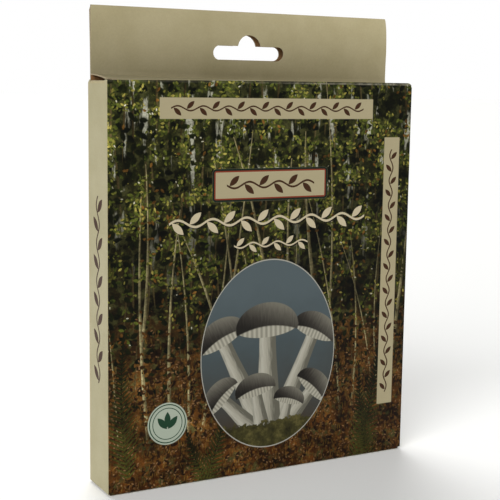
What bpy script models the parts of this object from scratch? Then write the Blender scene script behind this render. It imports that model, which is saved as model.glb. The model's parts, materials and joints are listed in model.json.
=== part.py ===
# Folding carton with a hang header, standing on its base.
# One die-cut blank of board, modelled as its panels, divided at the creases.
# +X runs to the right across the front, +Y to the back, +Z up. The origin is the middle of the base.
import math

import bmesh
import bpy
from mathutils import Vector

MM = 0.001

# Driving dimensions in millimetres
WIDTH = 136.0
DEPTH = 20.0
WALL_TOP = 157.0
HEADER_TOP = 185.0
BOARD = 0.5
GAP = 0.3
CORNER_RADIUS = 1.5
CORNER_STEPS = 4

# Hang header: the rear ply is the back wall's upper end, the front ply folds down in front of it
HEADER_INSET = 0.8
FOOT_Z = 159.4
FOOT_GAP = 0.7
TOP_GAP = 0.3
EDGE_BOW = 1.0
MIDDLE_BOW = 2.7
BOW_SKEW = 0.85
PLY_COLUMNS = 16
PLY_ROWS = 12

# Hang slot of the standard euro shape: a round-ended bar with a low dome above it
SLOT_WIDTH = 32.0
SLOT_BAR = 5.5
DOME_RADIUS = 5.27
DOME_RISE = 4.4
DOME_STEPS = 12
FRONT_SLOT = (-0.9, 168.65)
REAR_SLOT = (-1.4, 168.7)
SLOT_CUT = (4.0, 14.0)

# Lid: an arch that is highest at its hinge
LID_INSET = 0.5
LID_RISE = 2.2
LID_ARCH = 1.7
LID_ROWS = 10
HINGE_Y = 8.3

# Tuck flap, leaning in so that it clears the front wall as the lid opens
TUCK_LENGTH = 9.0
TUCK_LEAN = math.radians(36)
TUCK_INSET = 4.0
TUCK_CORNER = 5.0

# Dust flaps under the lid, tapered at the back to clear the lid and at the front to clear the tuck
DUST_LENGTH = 15.0
DUST_TOP = WALL_TOP - 0.9
DUST_DROP = math.radians(4)
DUST_FRONT = -7.5
DUST_BACK = 7.6
DUST_FRONT_TAPER = 1.0
DUST_BACK_TAPER = 4.2
DUST_CORNER = 2.5

# Seam flap, glued inside the back wall
GLUE_WIDTH = 13.0
GLUE_TAPER = 6.0
GLUE_INSET = 3.0

# Glued base
BASE_INNER_DEPTH = 15.0
BASE_INNER_TAPER = 2.0
BASE_DUST_LENGTH = 15.0
BASE_DUST_TAPER = 3.0

HALF_WIDTH = WIDTH / 2
FRONT_Y = -DEPTH / 2
BACK_Y = DEPTH / 2
INNER_FRONT = FRONT_Y + BOARD
INNER_BACK = BACK_Y - BOARD
INNER_SIDE = HALF_WIDTH - BOARD
WALL_FOOT = BOARD + GAP

# Colours as linear values: woodland print, cream print, raw brown board
PRINT = (0.055, 0.043, 0.020)
CREAM = (0.44, 0.41, 0.27)
RAW = (0.17, 0.10, 0.055)


def clear_scene():
    for item in list(bpy.data.objects):
        bpy.data.objects.remove(item, do_unlink=True)


def board_material(name, colour):
    material = bpy.data.materials.new(name)
    material.use_nodes = True
    shader = material.node_tree.nodes["Principled BSDF"]
    shader.inputs["Base Color"].default_value = (*colour, 1.0)
    shader.inputs["Roughness"].default_value = 0.5
    shader.inputs["Metallic"].default_value = 0.0
    return material


def add_object(name, points, faces, colour, origin):
    """A solid from points in millimetres, with its faces turned outwards and its origin where it turns."""
    centre = Vector(origin)
    mesh = bpy.data.meshes.new(name)
    mesh.from_pydata([(Vector(p) - centre) * MM for p in points], [], faces)
    shape = bmesh.new()
    shape.from_mesh(mesh)
    bmesh.ops.recalc_face_normals(shape, faces=shape.faces)
    shape.to_mesh(mesh)
    shape.free()
    mesh.materials.append(board_material(name, colour))
    item = bpy.data.objects.new(name, mesh)
    item.location = centre * MM
    bpy.context.scene.collection.objects.link(item)
    return item


def plate(name, outline, place, colour, origin=(0, 0, 0)):
    """A flat plate: place(u, v, w) puts each outline point (u, v) on one face (w = 0) and the other (w = 1)."""
    count = len(outline)
    points = [place(u, v, w) for w in (0, 1) for u, v in outline]
    faces = [tuple(range(count)), tuple(range(count, 2 * count))]
    for i in range(count):
        j = (i + 1) % count
        faces.append((i, j, count + j, count + i))
    return add_object(name, points, faces, colour, origin)


def ribbon(name, columns, section_at, colour, origin=(0, 0, 0)):
    """Bent board: section_at(x) gives its section there, as (outer, inner) pairs of (y, z)."""
    points, faces = [], []
    for x in columns:
        section = section_at(x)
        outline = [outer for outer, inner in section] + [inner for outer, inner in reversed(section)]
        points += [(x, y, z) for y, z in outline]
    ring = 2 * len(section)
    last = len(points) - ring
    for start in range(0, last, ring):
        for i in range(ring):
            j = (i + 1) % ring
            faces.append((start + i, start + j, start + ring + j, start + ring + i))
    for start in (0, last):
        for i in range(len(section) - 1):
            faces.append((start + i, start + i + 1, start + ring - 2 - i, start + ring - 1 - i))
    return add_object(name, points, faces, colour, origin)


def arc(centre, radius, start, turn, steps):
    """Points on a circle from the start angle, counter-clockwise; angles in degrees."""
    angles = [math.radians(start + turn * i / steps) for i in range(steps + 1)]
    return [(centre[0] + radius * math.cos(a), centre[1] + radius * math.sin(a)) for a in angles]


def corner(centre, radius, start):
    """A quarter circle from the start angle."""
    return arc(centre, radius, start, 90, CORNER_STEPS)


def slot_outline(middle):
    """The hang slot in (x, z): round right end, dome, round left end."""
    x, z = middle
    end = SLOT_BAR / 2
    reach = SLOT_WIDTH / 2 - end
    drop = DOME_RADIUS - DOME_RISE
    spring = math.degrees(math.asin(drop / DOME_RADIUS))
    right = arc((x + reach, z), end, 270, 180, 2 * CORNER_STEPS)
    dome = arc((x, z + end - drop), DOME_RADIUS, spring, 180 - 2 * spring, DOME_STEPS)
    left = arc((x - reach, z), end, 90, 180, 2 * CORNER_STEPS)
    return right + dome + left


def cut_slot(item, middle):
    """Cuts the hang slot through a ply with a prism along Y."""
    near, far = SLOT_CUT
    cutter = plate(
        item.name + "_slot_cutter",
        slot_outline(middle),
        lambda u, v, w: (u, near + (far - near) * w, v),
        RAW,
    )
    cutter.hide_render = True
    cutter.display_type = "WIRE"
    change = item.modifiers.new("hang slot", "BOOLEAN")
    change.operation = "DIFFERENCE"
    change.solver = "EXACT"
    change.object = cutter


def front_wall():
    r = CORNER_RADIUS
    outline = [(-HALF_WIDTH, WALL_FOOT), (HALF_WIDTH, WALL_FOOT)]
    outline += corner((HALF_WIDTH - r, WALL_TOP - r), r, 0)
    outline += corner((-HALF_WIDTH + r, WALL_TOP - r), r, 90)
    plate("front_panel", outline, lambda u, v, w: (u, FRONT_Y + BOARD * w, v), PRINT)


def side_walls():
    y_front, y_back = INNER_FRONT + GAP, INNER_BACK - GAP
    r = CORNER_RADIUS
    outline = [(y_front, WALL_FOOT), (y_back, WALL_FOOT)]
    outline += corner((y_back - r, WALL_TOP - r), r, 0)
    outline += [(y_front, WALL_TOP)]
    plate("right_side_panel", outline, lambda u, v, w: (INNER_SIDE + BOARD * w, u, v), CREAM)
    plate("left_side_panel", outline, lambda u, v, w: (-INNER_SIDE - BOARD * w, u, v), CREAM)


def back_wall():
    """The back wall and the header's rear ply, which is a little narrower."""
    narrow = HALF_WIDTH - HEADER_INSET
    shoulder = WALL_TOP + HEADER_INSET
    top = HEADER_TOP - BOARD - GAP
    right = [(HALF_WIDTH, WALL_FOOT), (HALF_WIDTH, WALL_TOP), (narrow, shoulder), (narrow, top)]
    left = [(-x, z) for x, z in reversed(right)]
    wall = plate("back_panel", right + left, lambda u, v, w: (u, INNER_BACK + BOARD * w, v), CREAM)
    cut_slot(wall, REAR_SLOT)


def seam_flap():
    """Joined to the right wall's rear edge and glued inside the back wall."""
    root = INNER_SIDE - GAP
    tip = root - GLUE_WIDTH
    low, high = WALL_FOOT + GLUE_INSET, WALL_TOP - GLUE_INSET
    outline = [(root, low), (root, high), (tip, high - GLUE_TAPER), (tip, low + GLUE_TAPER)]
    outer = INNER_BACK - GAP
    plate("glue_flap", outline, lambda u, v, w: (u, outer - BOARD * w, v), RAW)


def ply_gap(x, z):
    """Distance between the header's two plies: the front one bows forward, most in the middle."""
    share = (z - FOOT_Z) / (HEADER_TOP - BOARD - FOOT_Z)
    across = math.cos(math.pi * x / WIDTH) ** 2
    bow = EDGE_BOW + (MIDDLE_BOW - EDGE_BOW) * across
    return FOOT_GAP + (TOP_GAP - FOOT_GAP) * share + bow * math.sin(math.pi * share**BOW_SKEW)


def header_front():
    """Folds over the rear ply's top edge and comes down in front of it to the lid's hinge."""
    inner_top = HEADER_TOP - BOARD
    step = (inner_top - FOOT_Z) / PLY_ROWS

    def section_at(x):
        heights = [FOOT_Z + step * i for i in range(PLY_ROWS)]
        faces = [(INNER_BACK - ply_gap(x, z), z) for z in heights]
        section = [((y - BOARD, z), (y, z)) for y, z in faces]
        fold = INNER_BACK - TOP_GAP
        section.append(((fold - BOARD, HEADER_TOP), (fold, inner_top)))
        section.append(((BACK_Y, HEADER_TOP), (BACK_Y, inner_top)))
        return section

    narrow = HALF_WIDTH - HEADER_INSET
    columns = [-narrow + 2 * narrow * i / PLY_COLUMNS for i in range(PLY_COLUMNS + 1)]
    ply = ribbon("header_front_ply", columns, section_at, CREAM)
    cut_slot(ply, FRONT_SLOT)


def lid_top(y):
    """Height of the lid's upper face."""
    share = (HINGE_Y - y) / (HINGE_Y - INNER_FRONT)
    return WALL_TOP + LID_RISE * (1 - share**LID_ARCH)


def lid():
    """Turns about the crease at the foot of the header's front ply."""
    front, back = INNER_FRONT + GAP, HINGE_Y - GAP

    def section_at(x):
        depths = [front + (back - front) * i / LID_ROWS for i in range(LID_ROWS + 1)]
        return [((y, lid_top(y)), (y, lid_top(y) - BOARD)) for y in depths]

    reach = HALF_WIDTH - LID_INSET
    ribbon("top_panel", [-reach, reach], section_at, CREAM, (0, HINGE_Y, lid_top(HINGE_Y)))


def tuck():
    """Hangs from the lid's front edge; its free corners are rounded."""
    reach = HALF_WIDTH - TUCK_INSET
    r = TUCK_CORNER
    outline = [(-reach, 0.0)]
    outline += [(-u, v) for u, v in corner((reach - r, TUCK_LENGTH - r), r, 0)]
    outline += reversed(corner((reach - r, TUCK_LENGTH - r), r, 0))
    outline += [(reach, 0.0)]
    y = INNER_FRONT + GAP
    z = lid_top(y) - BOARD - GAP
    across, down = math.sin(TUCK_LEAN), math.cos(TUCK_LEAN)

    def place(u, v, w):
        inward = BOARD * w
        return (u, y + across * v + down * inward, z - down * v + across * inward)

    plate("tuck_flap", outline, place, CREAM, (0, y + BOARD / 2, z + GAP))


def dust_flaps():
    """Fold in from the side walls' top edges, sloping down a little towards their tips."""
    r = DUST_CORNER
    root = INNER_SIDE - GAP
    tip_front, tip_back = DUST_FRONT + DUST_FRONT_TAPER, DUST_BACK - DUST_BACK_TAPER
    outline = [(0.0, DUST_FRONT)]
    outline += corner((DUST_LENGTH - r, tip_front + r), r, 270)
    outline += corner((DUST_LENGTH - r, tip_back - r), r, 0)
    outline += [(0.0, DUST_BACK)]
    along, down = math.cos(DUST_DROP), math.sin(DUST_DROP)
    for name, side in (("left_dust_flap", -1), ("right_dust_flap", 1)):

        def place(u, v, w, side=side):
            return (side * (root - along * u), v, DUST_TOP - down * u - BOARD * w)

        plate(name, outline, place, CREAM, (side * INNER_SIDE, 0, DUST_TOP - BOARD / 2))


def base():
    """Two dust flaps, the inner flap glued over them, and the outer flap that the carton stands on."""
    reach = HALF_WIDTH - LID_INSET
    outer = [(-reach, FRONT_Y), (reach, FRONT_Y), (reach, BACK_Y), (-reach, BACK_Y)]
    plate("bottom_panel", outer, lambda u, v, w: (u, v, BOARD * w), CREAM)

    root = INNER_SIDE - GAP
    tip = root - BASE_INNER_TAPER
    front, back = INNER_FRONT + GAP, INNER_BACK - GAP
    lip = back - BASE_INNER_DEPTH
    inner = [(-tip, lip), (tip, lip), (root, back), (-root, back)]
    plate("bottom_inner_flap", inner, lambda u, v, w: (u, v, WALL_FOOT + BOARD * w), RAW)

    floor = WALL_FOOT + BOARD + GAP
    end = root - BASE_DUST_LENGTH
    taper = BASE_DUST_TAPER
    dust = [(root, front), (root, back), (end, back - taper), (end, front + taper)]
    for name, side in (("bottom_left_dust_flap", -1), ("bottom_right_dust_flap", 1)):
        plate(name, dust, lambda u, v, w, side=side: (side * u, v, floor + BOARD * w), RAW)


def build():
    clear_scene()
    front_wall()
    side_walls()
    back_wall()
    seam_flap()
    header_front()
    lid()
    tuck()
    dust_flaps()
    base()


build()
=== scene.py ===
import json
import math
import random

import bpy
from mathutils import Matrix, Vector


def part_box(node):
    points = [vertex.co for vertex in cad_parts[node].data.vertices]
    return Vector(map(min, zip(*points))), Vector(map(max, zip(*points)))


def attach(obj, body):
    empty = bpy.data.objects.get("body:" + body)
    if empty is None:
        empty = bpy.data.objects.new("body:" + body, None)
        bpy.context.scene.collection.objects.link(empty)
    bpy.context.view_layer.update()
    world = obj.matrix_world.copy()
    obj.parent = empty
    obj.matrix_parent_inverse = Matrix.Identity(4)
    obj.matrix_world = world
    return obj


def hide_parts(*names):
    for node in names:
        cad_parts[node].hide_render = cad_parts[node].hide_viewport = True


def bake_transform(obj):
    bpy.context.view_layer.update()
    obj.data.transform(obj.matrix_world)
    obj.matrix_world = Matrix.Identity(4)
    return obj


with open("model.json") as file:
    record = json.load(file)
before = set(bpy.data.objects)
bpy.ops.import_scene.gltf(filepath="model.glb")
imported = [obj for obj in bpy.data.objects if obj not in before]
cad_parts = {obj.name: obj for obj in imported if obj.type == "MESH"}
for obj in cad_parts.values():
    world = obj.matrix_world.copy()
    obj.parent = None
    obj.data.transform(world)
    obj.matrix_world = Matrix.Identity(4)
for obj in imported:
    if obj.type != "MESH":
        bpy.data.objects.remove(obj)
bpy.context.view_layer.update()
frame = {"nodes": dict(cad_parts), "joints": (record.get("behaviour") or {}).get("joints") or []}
mm = 0.001
print("frame loaded:", len(frame["nodes"]), "nodes")


def addNode(tree, kind, *values, pick=0, stops=None, **settings):
    # adds a node, sets its properties, fills or links its inputs in order (None leaves one alone),
    # and gives back the output asked for
    made = tree.nodes.new(kind)
    for key, value in settings.items():
        setattr(made, key, value)
    for socket, value in zip([s for s in made.inputs if s.enabled], values):
        if isinstance(value, bpy.types.NodeSocket):
            tree.links.new(value, socket)
        elif value is not None:
            socket.default_value = value
    if stops:
        ramp = made.color_ramp.elements
        while len(ramp) < len(stops):
            ramp.new(0.5)
        for element, (position, colour) in zip(ramp, stops):
            element.position, element.color = position, ink(colour)
    outputs = [s for s in made.outputs if s.enabled]
    if isinstance(pick, tuple):
        return [outputs[p] for p in pick]
    return outputs[pick]


def ink(code):
    # sRGB hex to the linear colour that the sockets take
    parts = [int(code[i : i + 2], 16) / 255 for i in (1, 3, 5)]
    linear = [c / 12.92 if c <= 0.04045 else ((c + 0.055) / 1.055) ** 2.4 for c in parts]
    return (*linear, 1.0)


def dim(tree, colour, factor):
    # a colour times a number
    black = ink("#000000")
    return addNode(tree, "ShaderNodeMix", factor, black, colour, data_type="RGBA", clamp_factor=False)


def after(tree, place, colour):
    # the same place, tied to the colour under it: the renderer then works out the motifs in turn,
    # because all of them at once are too many for it
    tie = (1e-9, 1e-9, 1e-9)
    return addNode(tree, "ShaderNodeVectorMath", colour, tie, place, operation="MULTIPLY_ADD")


def clouds(tree, place, size, detail, rough, *spread, **settings):
    # noise in clouds: their size in millimetres, detail and roughness, then a range of them and what
    # its two ends become
    noise = addNode(tree, "ShaderNodeTexNoise", place, 1 / size, detail, rough)
    return addNode(tree, "ShaderNodeMapRange", noise, *spread, **settings)


def boxMm(node):
    # a CAD node's lowest and highest corners in millimetres
    low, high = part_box(node)
    return low / mm, high / mm


def newGroup(name, inputs, output):
    # a shader group with its inputs, each (name, kind), and one output
    tree = bpy.data.node_groups.new(name, "ShaderNodeTree")
    for socketName, kind in inputs:
        tree.interface.new_socket(socketName, in_out="INPUT", socket_type="NodeSocket" + kind)
    tree.interface.new_socket(output, in_out="OUTPUT", socket_type="NodeSocket" + output)
    return tree, tree.nodes.new("NodeGroupInput").outputs


def endGroup(tree, socket):
    tree.links.new(socket, tree.nodes.new("NodeGroupOutput").inputs[0])
    return tree


# Printed motifs. Every size that they are given is in millimetres on the board.


def fromFoot(tree, given):
    # a standing motif's own place, seen from its foot and turned by its lean, then its two parts
    local = addNode(tree, "ShaderNodeVectorMath", given["Place"], given["Foot"], operation="SUBTRACT")
    local = addNode(tree, "ShaderNodeVectorRotate", local, (0, 0, 0), given["Lean"], rotation_type="Z_AXIS")
    return local, *addNode(tree, "ShaderNodeSeparateXYZ", local, pick=(0, 1))


def fromBentFoot(tree, given):
    # how far across and along a bent motif, and the share of its length
    _, across, along = fromFoot(tree, given)
    share = addNode(tree, "ShaderNodeMath", along, given["Long"], operation="DIVIDE")
    bend = addNode(tree, "ShaderNodeMath", share, 2.0, operation="POWER")
    bend = addNode(tree, "ShaderNodeMath", bend, given["Bend"], operation="MULTIPLY")
    across = addNode(tree, "ShaderNodeMath", across, bend, operation="SUBTRACT")
    return across, along, share


def bladeReach(tree, across, along):
    # one at the outline of a leaf blade that is two long and two wide and ends in points, less inside
    across = addNode(tree, "ShaderNodeMath", across, operation="ABSOLUTE")
    along = addNode(tree, "ShaderNodeMath", along, 2.0, operation="POWER")
    return addNode(tree, "ShaderNodeMath", along, across, operation="ADD")


# a motif's own shape is in shares of its width or height, unless millimetres are named; four numbers in
# a row are a range and what its two ends become
leafShape = {
    "seedShift": (13.7, 7.1, 0.0),  # how far the cells of one seed lie from those of the next
    "scatter": 0.9,  # how far the leaves stray from the middles of their cells
    "edge": (1.05, 0.65, 0.0, 1.0),
    "fold": 0.3,  # how much lighter one half is
}


def buildLeafPatch():
    # Strews leaves of one kind over the print: one leaf in each cell, turned and toned at random.
    # Long thin cells make grass blades of the same shape.
    floats = ("Cell", "Stretch", "Lean", "Turn", "Length", "Width", "Cover", "Seed")
    colours = ("Under", "Dark", "Light")
    inputs = [("Place", "Vector")] + [(n, "Color") for n in colours] + [(n, "Float") for n in floats]
    tree, given = newGroup("leafPatch", inputs, "Color")
    tall = addNode(tree, "ShaderNodeMath", given["Cell"], given["Stretch"], operation="MULTIPLY")
    size = addNode(tree, "ShaderNodeCombineXYZ", given["Cell"], tall, 1.0)
    shift = leafShape["seedShift"]
    shift = addNode(tree, "ShaderNodeVectorMath", shift, given["Seed"], operation="SCALE")
    spot = addNode(tree, "ShaderNodeVectorMath", given["Place"], shift, operation="ADD")
    spot = addNode(tree, "ShaderNodeVectorMath", spot, size, operation="DIVIDE")
    cells = (spot, 1.0, 0.0, 0.5, 2.0, leafShape["scatter"])
    chance, centre = addNode(tree, "ShaderNodeTexVoronoi", *cells, pick=(1, 2), voronoi_dimensions="2D")
    first, second, third = addNode(tree, "ShaderNodeSeparateColor", chance, pick=(0, 1, 2))
    local = addNode(tree, "ShaderNodeVectorMath", spot, centre, operation="SUBTRACT")
    local = addNode(tree, "ShaderNodeVectorMath", local, size, operation="MULTIPLY")
    turn = addNode(tree, "ShaderNodeMapRange", first, 0.0, 1.0, -1.0, 1.0)
    turn = addNode(tree, "ShaderNodeMath", turn, given["Turn"], given["Lean"], operation="MULTIPLY_ADD")
    local = addNode(tree, "ShaderNodeVectorRotate", local, (0, 0, 0), turn, rotation_type="Z_AXIS")
    acrossLeaf, alongLeaf = addNode(tree, "ShaderNodeSeparateXYZ", local, pick=(0, 1))
    halfLong = addNode(tree, "ShaderNodeMath", given["Cell"], given["Length"], operation="MULTIPLY")
    halfWide = addNode(tree, "ShaderNodeMath", given["Cell"], given["Width"], operation="MULTIPLY")
    alongLeaf = addNode(tree, "ShaderNodeMath", alongLeaf, halfLong, operation="DIVIDE")
    acrossLeaf = addNode(tree, "ShaderNodeMath", acrossLeaf, halfWide, operation="DIVIDE")
    blade = bladeReach(tree, acrossLeaf, alongLeaf)
    mask = addNode(tree, "ShaderNodeMapRange", blade, *leafShape["edge"])
    grows = addNode(tree, "ShaderNodeMath", second, given["Cover"], operation="LESS_THAN")
    mask = addNode(tree, "ShaderNodeMath", mask, grows, operation="MULTIPLY")
    tone = addNode(tree, "ShaderNodeMath", acrossLeaf, leafShape["fold"], third, operation="MULTIPLY_ADD")
    tone = addNode(tree, "ShaderNodeMath", tone, 0.0, operation="ADD", use_clamp=True)
    leaf = addNode(tree, "ShaderNodeMix", tone, given["Dark"], given["Light"], data_type="RGBA")
    return endGroup(tree, addNode(tree, "ShaderNodeMix", mask, given["Under"], leaf, data_type="RGBA"))


frondShape = {
    "grow": (0.0, 0.25, 0.35, 1.0),  # it widens quickly from its foot
    "taper": (0.2, 1.0, 1.0, 0.0),  # and narrows to its tip
    "least": 0.05,  # half width there, in millimetres
    "slant": -0.7,
    "gaps": 3.3,  # how deep the gaps between its leaflets are
    "edge": (1.3, 1.05, 0.0, 1.0),
    "rib": 0.3,  # half width, in millimetres
    "shade": 0.35,  # how much darker the gaps are
}


def buildFrond():
    # One fern frond: a bent midrib with slanting leaflets that shorten towards the tip.
    inputs = [("Place", "Vector"), ("Under", "Color"), ("Dark", "Color"), ("Light", "Color")]
    inputs += [("Foot", "Vector")] + [(n, "Float") for n in ("Lean", "Long", "Wide", "Bend", "Pitch")]
    tree, given = newGroup("frond", inputs, "Color")
    across, along, share = fromBentFoot(tree, given)
    side = addNode(tree, "ShaderNodeMath", across, operation="ABSOLUTE")
    grow = addNode(tree, "ShaderNodeMapRange", share, *frondShape["grow"])
    taper = addNode(tree, "ShaderNodeMapRange", share, *frondShape["taper"])
    outline = addNode(tree, "ShaderNodeMath", grow, taper, operation="MULTIPLY")
    outline = addNode(tree, "ShaderNodeMath", outline, given["Wide"], operation="MULTIPLY")
    outline = addNode(tree, "ShaderNodeMath", outline, frondShape["least"], operation="MAXIMUM")
    reach = addNode(tree, "ShaderNodeMath", side, outline, operation="DIVIDE")
    slant = addNode(tree, "ShaderNodeMath", side, frondShape["slant"], along, operation="MULTIPLY_ADD")
    wave = addNode(tree, "ShaderNodeMath", slant, given["Pitch"], operation="DIVIDE")
    wave = addNode(tree, "ShaderNodeMath", wave, 0.5, operation="PINGPONG")
    wave = addNode(tree, "ShaderNodeMath", wave, frondShape["gaps"], operation="MULTIPLY")
    body = addNode(tree, "ShaderNodeMath", reach, 2.0, operation="POWER")
    body = addNode(tree, "ShaderNodeMath", body, wave, operation="ADD")
    mask = addNode(tree, "ShaderNodeMapRange", body, *frondShape["edge"])
    rib = addNode(tree, "ShaderNodeMath", side, frondShape["rib"], operation="LESS_THAN")
    mask = addNode(tree, "ShaderNodeMath", mask, rib, operation="MAXIMUM")
    inside = addNode(tree, "ShaderNodeMath", reach, 1.0, operation="LESS_THAN")
    mask = addNode(tree, "ShaderNodeMath", mask, inside, operation="MULTIPLY")
    start = addNode(tree, "ShaderNodeMath", share, 0.0, operation="GREATER_THAN")
    mask = addNode(tree, "ShaderNodeMath", mask, start, operation="MULTIPLY")
    tone = addNode(tree, "ShaderNodeMath", wave, frondShape["shade"], share, operation="MULTIPLY_ADD")
    tone = addNode(tree, "ShaderNodeMath", tone, 0.0, operation="ADD", use_clamp=True)
    leaf = addNode(tree, "ShaderNodeMix", tone, given["Light"], given["Dark"], data_type="RGBA")
    return endGroup(tree, addNode(tree, "ShaderNodeMix", mask, given["Under"], leaf, data_type="RGBA"))


stalkShape = {
    "taper": (0.0, 1.0, 1.0, 0.25),
    "edge": (1.05, 0.8, 0.0, 1.0),
    "rise": (0.0, 0.15, 0.0, 1.0),  # how it comes out of the leaves at its foot
    "light": -0.3,  # how much lighter its left side is
    "straw": ((0.1, "#3A3522"), (0.35, "#635C42"), (0.6, "#847C5C"), (0.9, "#A39B7A")),
}


def buildStalk():
    # One reed stalk: bent, tapering to its tip, lit from the left and lost in the leaves at its foot.
    inputs = [("Place", "Vector"), ("Under", "Color"), ("Grain", "Float"), ("Foot", "Vector")]
    inputs += [(n, "Float") for n in ("Lean", "Long", "Wide", "Bend")]
    tree, given = newGroup("stalk", inputs, "Color")
    across, _, share = fromBentFoot(tree, given)
    girth = addNode(tree, "ShaderNodeMapRange", share, *stalkShape["taper"])
    girth = addNode(tree, "ShaderNodeMath", girth, given["Wide"], operation="MULTIPLY")
    side = addNode(tree, "ShaderNodeMath", across, girth, operation="DIVIDE")
    edge = addNode(tree, "ShaderNodeMath", side, operation="ABSOLUTE")
    mask = addNode(tree, "ShaderNodeMapRange", edge, *stalkShape["edge"])
    rise = addNode(tree, "ShaderNodeMapRange", share, *stalkShape["rise"])
    mask = addNode(tree, "ShaderNodeMath", mask, rise, operation="MULTIPLY")
    tip = addNode(tree, "ShaderNodeMath", share, 1.0, operation="LESS_THAN")
    mask = addNode(tree, "ShaderNodeMath", mask, tip, operation="MULTIPLY")
    light = stalkShape["light"]
    tone = addNode(tree, "ShaderNodeMath", side, light, given["Grain"], operation="MULTIPLY_ADD")
    skin = addNode(tree, "ShaderNodeValToRGB", tone, stops=stalkShape["straw"])
    return endGroup(tree, addNode(tree, "ShaderNodeMix", mask, given["Under"], skin, data_type="RGBA"))


toadstoolShape = {
    "girth": (0.0, 0.9, 0.4, 0.27),  # the stem's half width, thicker at its foot
    "stemEdge": (1.0, 0.94, 0.0, 1.0),
    "stemInks": ((0.1, "#66645A"), (0.45, "#A5A294"), (0.8, "#8C897B"), (1.0, "#5B594E")),
    "streaks": (1.6, 0.18, 1.0),  # how fine they are across and along
    "stemStreaks": 0.5,  # how strong they are on the stem
    "gillDeep": 0.3,
    "gillEdge": (1.0, 0.93, 0.0, 1.0),
    "gillLines": 42.0,
    "gillFan": (-1.0, 1.0, 0.25, 1.0),
    "gillInks": ("#6E6B5E", "#A19E8F"),
    "droop": (-0.2, 0.16),  # how the cap's rim curls down at both ends
    "domeHigh": 0.7,
    "domeEdge": (1.0, 0.95, 0.0, 1.0),
    "rimEdge": (-0.16, -0.12, 0.0, 1.0),
    "capLight": 0.35,  # how much lighter its right side is
    "capStreaks": 0.35,
    "capInks": ((0.0, "#1E1C19"), (0.3, "#322F2A"), (0.62, "#504D45"), (0.9, "#68655A")),
}


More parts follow.
